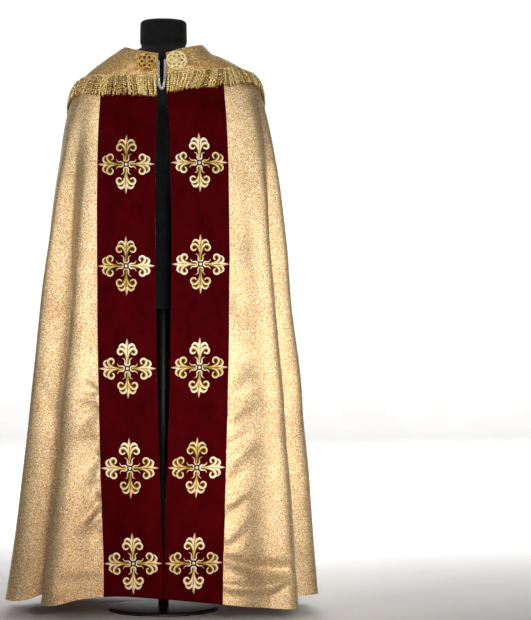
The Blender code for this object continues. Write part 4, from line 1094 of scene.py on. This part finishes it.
# points of one arm's strokes, sideways and outwards, as shares of the cross's half width
STEM = ((0.012, 0.150), (0.014, 0.300), (0.036, 0.440), (0.100, 0.575), (0.168, 0.642))
LEAF = ((0.016, 0.480), (0.046, 0.640), (0.100, 0.758), (0.178, 0.792), (0.246, 0.752), (0.290, 0.690))
CUP = ((0.0, 0.118), (0.050, 0.128), (0.078, 0.180), (0.072, 0.250), (0.104, 0.318), (0.172, 0.352))
TRUNK = ((0.0, 0.150), (0.0, 0.340), (0.0, 0.520), (0.0, 0.700))
SPEAR = ((0.0, 0.640), (0.0, 0.800), (0.0, 1.0))


def spiral(centre, start_radius, end_radius, start, sweep, count):
    """Points on a spiral round a centre; angles in degrees, 0 along +x."""
    radius = np.linspace(start_radius, end_radius, count)
    angle = np.radians(np.linspace(start, start + sweep, count))
    return np.array(centre) + stacked(radius * np.cos(angle), radius * np.sin(angle))


def curve_through(points, count):
    """A smooth line through a few points."""
    points = np.asarray(points, float)
    run = run_along(points)
    return smooth_line(run, points, np.linspace(0, run[-1], count))


def lens(count, start, middle, end, peak):
    """Half-widths of a stroke: start, widest at peak, end."""
    share = np.linspace(0, 1, count)
    rising = start + (middle - start) * np.sin(share / peak * math.pi / 2)
    falling = end + (middle - end) * np.cos((share - peak) / (1 - peak) * math.pi / 2)
    straight = np.interp(share, (0.0, peak, 1.0), (start, middle, end))
    return (straight + np.where(share < peak, rising, falling)) / 2


def arm_strokes():
    """Strokes of one arm, pointing to +y: (path, half-widths, lift, side of the painted highlight, tone,
    rose).
    """
    stem = curve_through(STEM, 22)
    volute = spiral((0.226, 0.556), 0.101, 0.066, 124, -292, 30)
    scroll = curve_through(np.concatenate([stem[:-2], volute])[::3], 54)
    leaf, cup = curve_through(LEAF, 30), curve_through(CUP, 26)
    strokes = []
    for hand in (-1, 1):
        flip = np.array([hand, 1.0])
        strokes += [
            (scroll * flip, lens(54, 0.020, 0.054, 0.030, 0.66), 0.10, -hand, 0.0, False),
            (leaf * flip, lens(30, 0.022, 0.058, 0.014, 0.66), 0.30, -hand, 0.02, False),
            (cup * flip, lens(26, 0.034, 0.027, 0.008, 0.30), 0.45, hand, 0.10, False),
        ]
    trunk = (curve_through(TRUNK, 24), lens(24, 0.040, 0.030, 0.046, 0.45), 0.35, 1, -0.22, False)
    spear = (curve_through(SPEAR, 24), lens(24, 0.030, 0.052, 0.003, 0.45), 0.45, 1, 0.0, True)
    return [*strokes, trunk, spear]


def stroke_grid(path, half, base, light, tone=0.0, rose=False, steps=8):
    """A domed stroke: points in the cross's own plane, heights, and uv (run, painted highlight and shade
    across).
    """
    ahead = unit(np.gradient(path, axis=0))
    side = stacked(ahead[:, 1], -ahead[:, 0])
    across = np.cos(np.linspace(0, math.pi, steps + 1))
    flat = path[:, None] + (side * half[:, None])[:, None] * across[:, None]
    rise = (0.35 + 0.65 * half / half.max())[:, None] * np.sqrt(np.clip(1 - across**2, 0, 1))
    run = run_along(path) * CROSS_HALF_WIDTH + ROSE_RUN * rose
    # the uv's second value runs from painted shade on one edge of the stroke to painted highlight on the
    # other
    return flat, rise + base * 0.25, stacked(run[:, None], 0.5 + 0.5 * across * light + tone)


def cross_strokes():
    """Every stroke of a cross, with its arm's number: four arms and, as number 4, the centre."""
    grids = []
    for arm in range(4):
        c, s = math.cos(arm * math.pi / 2), math.sin(arm * math.pi / 2)
        for path, *rest in arm_strokes():
            grids.append((arm, stroke_grid(path @ np.array([[c, s], [-s, c]]), *rest)))
    for radius, count, half, base, tone in ((0.022, 21, 0.026, 0.5, 0.15), (0.088, 33, 0.016, 0.0, -0.75)):
        ring = spiral((0, 0), radius, radius, 0, 360, count)
        grids.append((4, stroke_grid(ring, np.full(count, half), base, 1, tone, steps=6)))
    return grids


CROSS_STROKES = cross_strokes()


def build_cross(node, middle_place, cell, height, lift, dice):
    """A cross in raised satin stitch, laid on the cloth under it; each arm gets a random painted light,
    lighter or darker, for the way its stitches catch the light.
    """
    bundle = Bundle()
    # painted light: a random shift of each arm's tone, standing in for the satin's reflection
    painted_arm_light = np.append(dice.uniform(-0.22, 0.14, 4), 0.0)
    for arm, (flat, rise, uv) in CROSS_STROKES:
        places = middle_place + flat[..., 0] * CROSS_HALF_WIDTH / cell
        downs = down_at_height(places, height + flat[..., 1] * CROSS_HALF_HEIGHT)
        bundle.grid(cloth(places, downs, lift + rise * RELIEF), uv + (0.0, painted_arm_light[arm]), flip=True)
    bundle.piece(node + "_satin", SATIN, "embroidery", node)


def build_crosses():
    dice = np.random.default_rng(11)
    cell = ORPHREY_WIDTH / BAND_CELLS
    for side, middle in (("left", BAND_CELLS / 2), ("right", CELLS - BAND_CELLS / 2)):
        for number, height in enumerate(CROSS_HEIGHTS[side], start=1):
            build_cross(f"cross_{side}_{number}", middle, cell, height, SEAM + CLOTH - 0.0001, dice)
    cell = PANEL_WIDTH / PANEL_CELLS
    build_cross("cross_hood", BACK_CENTRE, cell, HOOD_CROSS_HEIGHT, HOOD_LIFT + CLOTH + 0.0006, dice)


# --- clasps and chain ---
def on_disc(disc, radius, angle, rise):
    """A point over a clasp: radius and angle in its face, rise outwards."""
    point, level, upright, normal = disc
    along, up = radius * np.cos(angle), radius * np.sin(angle)
    outer = np.multiply.outer
    return point + outer(along, level) + outer(up, upright) + outer(rise, normal)


def clasp_frame(side):
    """A clasp's middle and the level, upright and outward directions of its face."""
    at = CLASP_CENTRES[side]
    normal = cloth_normal(*at)
    level = unit(np.cross(UP, normal))
    return cloth(*at, HOOD_LIFT + CLOTH + SEAM), level, np.cross(normal, level), normal


PETALS = 6
GRANULES = 8
# a clasp's domed plate, from its middle: share of its radius, rise
PLATE = (
    (0.0, 0.0028), (0.25, 0.0026), (0.55, 0.0018), (0.85, 0.001), (0.97, 0.0008), (0.99, 0.0004),
    (0.99, -0.001),
)
# round wires of the rosette: share of the clasp's radius, rise; then their radii and the rope's pitch
RIM_AT, RIM_ROPE = (0.95, 0.0016), (0.0007, 0.0008, 0.0046)
RING_AT, RING_RADIUS = (0.33, 0.0032), 0.0010
PETAL_WIRE, VEIN_WIRE = 0.0014, 0.0019
PEARL_AT, PEARL = (0.83, 0.0022), 0.0021  # between two petals
GRANULE_AT, GRANULE = (0.20, 0.0034), 0.0016
BOSS_RISE, BOSS = 0.0034, 0.0038


def build_clasp(side, wire_metal, plate_metal):
    """A filigree rosette: open wire petals, curls and granules on a domed plate, inside a rope rim."""
    disc = clasp_frame(side)
    up = disc[3]
    node = "clasp_" + side
    plate = Bundle()
    around = circle(72)
    grid = np.stack([on_disc(disc, CLASP_RADIUS * share, around, rise) for share, rise in PLATE])
    plate.grid(grid, stacked(np.linspace(0, 1, len(PLATE))[:, None], around), wrap=True)
    plate.piece(node + "_plate", plate_metal, "clasp_gold")

    def at(share, angle, rise):
        return on_disc(disc, CLASP_RADIUS * share, angle, rise)

    wires = Bundle()
    full = np.linspace(0, TURN, 90)
    rope(wires, at(RIM_AT[0], full, RIM_AT[1]), *RIM_ROPE, up)
    wires.tube(at(RING_AT[0], full, RING_AT[1]), RING_RADIUS, up=up)
    for k in range(PETALS):
        middle = TURN * (k + 0.5) / PETALS
        t = np.linspace(0, 1, 26)
        swell = np.sin(math.pi * t)
        spread = 0.44 * np.sin(TURN * t) * (0.6 + 0.4 * swell)
        petal = at(0.37 + 0.50 * swell**0.8, middle + spread, 0.0024 + 0.0016 * swell)
        wires.tube(petal, PETAL_WIRE, up=up)
        t = np.linspace(0, 1, 11)
        vein = at(0.42 + 0.34 * t, middle, 0.0030 + 0.0014 * np.sin(math.pi * t))
        wires.tube(vein, VEIN_WIRE * np.sin(math.pi * (0.12 + 0.8 * t)), up=up)
        between = middle + math.pi / PETALS
        t = np.linspace(0, 1, 14)
        for hand in (-1, 1):
            curl = at(0.62 + 0.20 * np.sin(math.pi * t), between + hand * 0.17 * t, 0.0026)
            wires.tube(curl, 0.0009 + 0.0004 * t, up=up)
        wires.ball(at(PEARL_AT[0], between, PEARL_AT[1]), PEARL)
    for k in range(GRANULES):
        wires.ball(at(GRANULE_AT[0], TURN * k / GRANULES, GRANULE_AT[1]), GRANULE)
    wires.ball(at(0.0, 0.0, BOSS_RISE), BOSS, 8, 16)
    wires.piece(node + "_filigree", wire_metal, "clasp_gold", node)


def chain_route():
    """From one clasp's inner rim, down in a narrow U, and up to the other's."""
    ends = []
    for side, inwards in (("left", 1), ("right", -1)):
        point, _, _, normal = clasp_frame(side)
        rim = point + np.array([inwards * (CLASP_RADIUS + CHAIN_BEAD + SEAM), 0.0, 0.0])
        ends.append(rim + normal * (CHAIN_BEAD + 3 * SEAM))
    left, right = ends
    low = min(left[2], right[2]) - CHAIN_DROP
    front_y = cloth(0.0, down_at_height(0.0, low), HOOD_LIFT + FRINGE_THICK + 2 * CHAIN_BEAD)[1]
    t = np.linspace(-1, 1, 121)
    fall = (1 - np.abs(t) ** 2.2) ** 0.8
    _, rim_y, rim_z = (left + (right - left) * (t[:, None] + 1) / 2).T
    wider = np.sin(t * math.pi / 2) * (1 + 0.06 * (1 - np.abs(t) ** 5))
    x = (left[0] + right[0]) / 2 + (right[0] - left[0]) / 2 * wider
    y = rim_y + (front_y - rim_y) * np.minimum(1.0, fall * 1.3)
    return stacked(x, y, rim_z + (low - rim_z) * fall)


LINK_PITCH = 0.0062
LINK_WIRE = 0.00105
LINK_HALF_LENGTH = 0.0044
LINK_HALF_WIDTH = 0.0027
LINK_TILTS = (-48, 38)  # degrees, of every other link


def build_chain():
    """A chain of oval links, each turned a quarter from its neighbour."""
    route = chain_route()
    run = run_along(route)
    links = int(run[-1] / LINK_PITCH)
    bundle = Bundle()
    angle = circle(16)[:, None]
    for k in range(links):
        at = run[-1] * (k + 0.5) / links
        steps = (at, at + 0.002, at - 0.002)
        centre, ahead, behind = np.stack([np.interp(steps, run, line) for line in route.T], axis=1)
        along = unit(ahead - behind)
        side = unit(np.cross(along, (0.0, -1.0, 0.0)))
        tilt = math.radians(LINK_TILTS[k % 2])
        wide = math.cos(tilt) * side + math.sin(tilt) * np.cross(side, along)
        oval = centre + LINK_HALF_LENGTH * np.cos(angle) * along + LINK_HALF_WIDTH * np.sin(angle) * wide
        bundle.tube(oval, LINK_WIRE, up=np.cross(along, wide), closed=True)
    bundle.piece("chain_links", SILVER, "chain_metal", "chain")


# --- dress form and stand ---
# the base plate's rounded edge: distance in from its reach, share of its height
BASE_EDGE = ((0.012, 1.0), (0.004, 0.86), (0.001, 0.6), (0.0, 0.3), (0.001, 0.0))
FORM_SIDES = 128
FORM_FINER = 4  # rings made between two given ones
FORM_GAP = 0.0006
CAP_SHARES = (0.02, 0.5, 0.9)


def build_form():
    """The jersey-covered body: level rings of the neck and trunk, and shoulders that follow the cloth."""
    angle = circle(FORM_SIDES)
    turns = np.degrees(angle)

    def level_ring(height, half_width, front, back):
        depth = np.where(np.cos(angle) >= 0, front, back)
        return stacked(-half_width * np.sin(angle), -depth * np.cos(angle), height)

    rings = [level_ring(height, *[radius] * 3) for height, radius in FORM_NECK]
    for down, clearance in FORM_SEAT:
        inside = cross_normal(folded_point, turns, down) * (CLOTH + clearance + FORM_GAP)
        rings.append(folded_point(turns, down) - inside)
    grid = np.array(rings + [level_ring(*row) for row in FORM_BODY])
    padded = np.concatenate([grid[:1], grid, grid[-1:]])
    slope = (padded[2:] - padded[:-2]) / 2
    fine = np.linspace(0, len(grid) - 1, FORM_FINER * (len(grid) - 1) + 1)
    i = np.minimum(fine.astype(int), len(grid) - 2)
    body = hermite((fine - i)[:, None, None], grid[i], grid[i + 1], slope[i], slope[i + 1])
    top, low = ([e.mean(axis=0) + (e - e.mean(axis=0)) * s for s in CAP_SHARES] for e in (body[0], body[-1]))
    body = np.concatenate([top, body, low[::-1]])
    add_grid("dress_form_body", body, JERSEY, "dress_form", wrap=True)


def lathe(name, node, profile):
    """A round black metal piece from (radius, height) rows, top to bottom."""
    around = circle(96)
    rings = [stacked(r * np.cos(around), r * np.sin(around), z) for r, z in profile]
    add_grid(name, np.array(rings), BLACK_METAL, node, flip=False, wrap=True)


def build_stand():
    low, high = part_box("stand_pole")
    reach, bottom, height = high[0], low[2], high[2]
    rows = ((0.9 * reach, height), (reach, height - 0.002), (reach, bottom))
    lathe("stand_pole_tube", "stand_pole", ((0.0001, height), *rows, (0.0001, bottom)))
    reach, _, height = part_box("stand_base")[1]
    rows = [(reach - inset, height * share) for inset, share in BASE_EDGE]
    lathe("stand_base_plate", "stand_base", ((0.0001, height), *rows, (0.0001, 0.0)))


# --- stage ---
def stage_material():
    m = Nodes("studio_white", Roughness=0.8)
    return m.finish(Base_Color=m.ramp(m.noise(3.0), (0.3, (231.11,) * 3), (0.7, (234.90,) * 3)))


STAGE_REACH = 16.0
WALL_FROM = 8.0
WALL_CURVE = 1.2
WALL_TOP = 9.0


def build_stage():
    """A pale floor that curves up into a plain backdrop."""
    bend = np.linspace(0.1, math.pi / 2, 12)
    line = [(-STAGE_REACH, 0.0), (WALL_FROM, 0.0)]
    line += [(WALL_FROM + WALL_CURVE * math.sin(a), WALL_CURVE - WALL_CURVE * math.cos(a)) for a in bend]
    line += [(WALL_FROM + WALL_CURVE, WALL_TOP)]
    xs = np.linspace(-STAGE_REACH, STAGE_REACH, 3)
    points = [(x, y, z) for y, z in line for x in xs]
    new_object("studio_floor", points, grid_faces(len(line), 3, flip=True), stage_material())


WORLD_COLOUR = (1.0, 0.93, 0.86, 1.0)
WORLD_STRENGTH = 0.13
WHITE = (1.0, 1.0, 1.0)
SOFT_WHITE = (1.0, 0.98, 0.95)
# name, place, target, size, power, colour, spread in degrees
LIGHTS = (
    ("key", (0.42, -2.10, 0.94), (0.04, 0, 0.68), 0.8, 3.9, (1.0, 0.985, 0.95), 50),
    ("key_low", (0.26, -2.10, 0.42), (0.22, 0, 0.33), 0.5, 0.46, (1.0, 0.96, 0.90), 27),
    ("hem_glow", (0.0, -2.3, 0.26), (0.0, 0, 0.08), 0.5, 0.22, (1.0, 0.42, 0.13), 26),
    ("fill_left", (-1.9, -1.9, 2.1), (-0.1, 0, 1.34), 1.0, 4.7, SOFT_WHITE, 56),
    ("fill_right", (1.9, -1.9, 2.1), (0.1, 0, 1.34), 1.0, 3.3, SOFT_WHITE, 56),
    ("back", (0.1, 3.6, 2.4), (0, 0, 0.8), 1.2, 30, WHITE, 180),
    ("floor_rear", (0.8, 3.0, 3.6), (0.8, 3.0, 0), 3.0, 70, WHITE, 90),
    ("backdrop_left", (-3.4, 4.4, 2.6), (-1.0, 8.4, 1.2), 1.6, 210, WHITE, 180),
    ("backdrop_right", (3.4, 4.4, 2.6), (1.0, 8.4, 1.2), 1.6, 210, WHITE, 180),
)


def area_light(name, place, target, size, power, colour, spread):
    light = bpy.data.lights.new(name, "AREA")
    light.energy = power
    light.size = size
    light.color = colour
    light.spread = math.radians(spread)
    holder = bpy.data.objects.new(name, light)
    holder.visible_camera = False
    holder.location = place
    x, y, z = np.array(place, float) - np.array(target, float)
    holder.rotation_euler = (math.atan2(math.hypot(x, y), z), 0.0, math.atan2(y, x) + math.pi / 2)
    bpy.context.scene.collection.objects.link(holder)


def build_lights():
    for row in LIGHTS:
        area_light(*row)
    world = bpy.data.worlds.new("studio")
    world.use_nodes = True
    background = world.node_tree.nodes["Background"]
    background.inputs["Color"].default_value = WORLD_COLOUR
    background.inputs["Strength"].default_value = WORLD_STRENGTH
    bpy.context.scene.world = world
    bpy.context.scene.view_settings.view_transform = "Standard"


def build_camera():
    data = bpy.data.cameras.new("photo_camera")
    data.sensor_fit = "VERTICAL"
    data.sensor_height = SENSOR
    data.lens = SENSOR * CAMERA_DISTANCE / (PHOTO_HEIGHT * PHOTO_SCALE)
    camera = bpy.data.objects.new("photo_camera", data)
    yaw = math.atan((PHOTO_WIDTH / 2 - PHOTO_AXIS_X) * PHOTO_SCALE / CAMERA_DISTANCE)
    camera.location = (0.0, -CAMERA_DISTANCE, CAMERA_HEIGHT)
    camera.rotation_euler = (math.pi / 2, 0.0, -yaw)
    bpy.context.scene.collection.objects.link(camera)
    bpy.context.scene.camera = camera


def main():
    build_camera()
    build_lights()
    build_stage()
    mantle, mantle_area, lining, lining_area = build_mantle()
    bands = build_orphreys()
    hood = build_hood()
    build_neck_binding()
    build_fringe_header()
    build_header_cord()
    build_seam_stitches()
    hem_stitches = build_hem_stitches()
    build_fringe("left")
    build_fringe("right")
    build_crosses()
    build_clasp("left", CLASP_GOLD_SHADED, CLASP_RECESS_SHADED)
    build_clasp("right", CLASP_GOLD_LIT, CLASP_RECESS_LIT)
    build_chain()
    build_form()
    build_stand()


main()
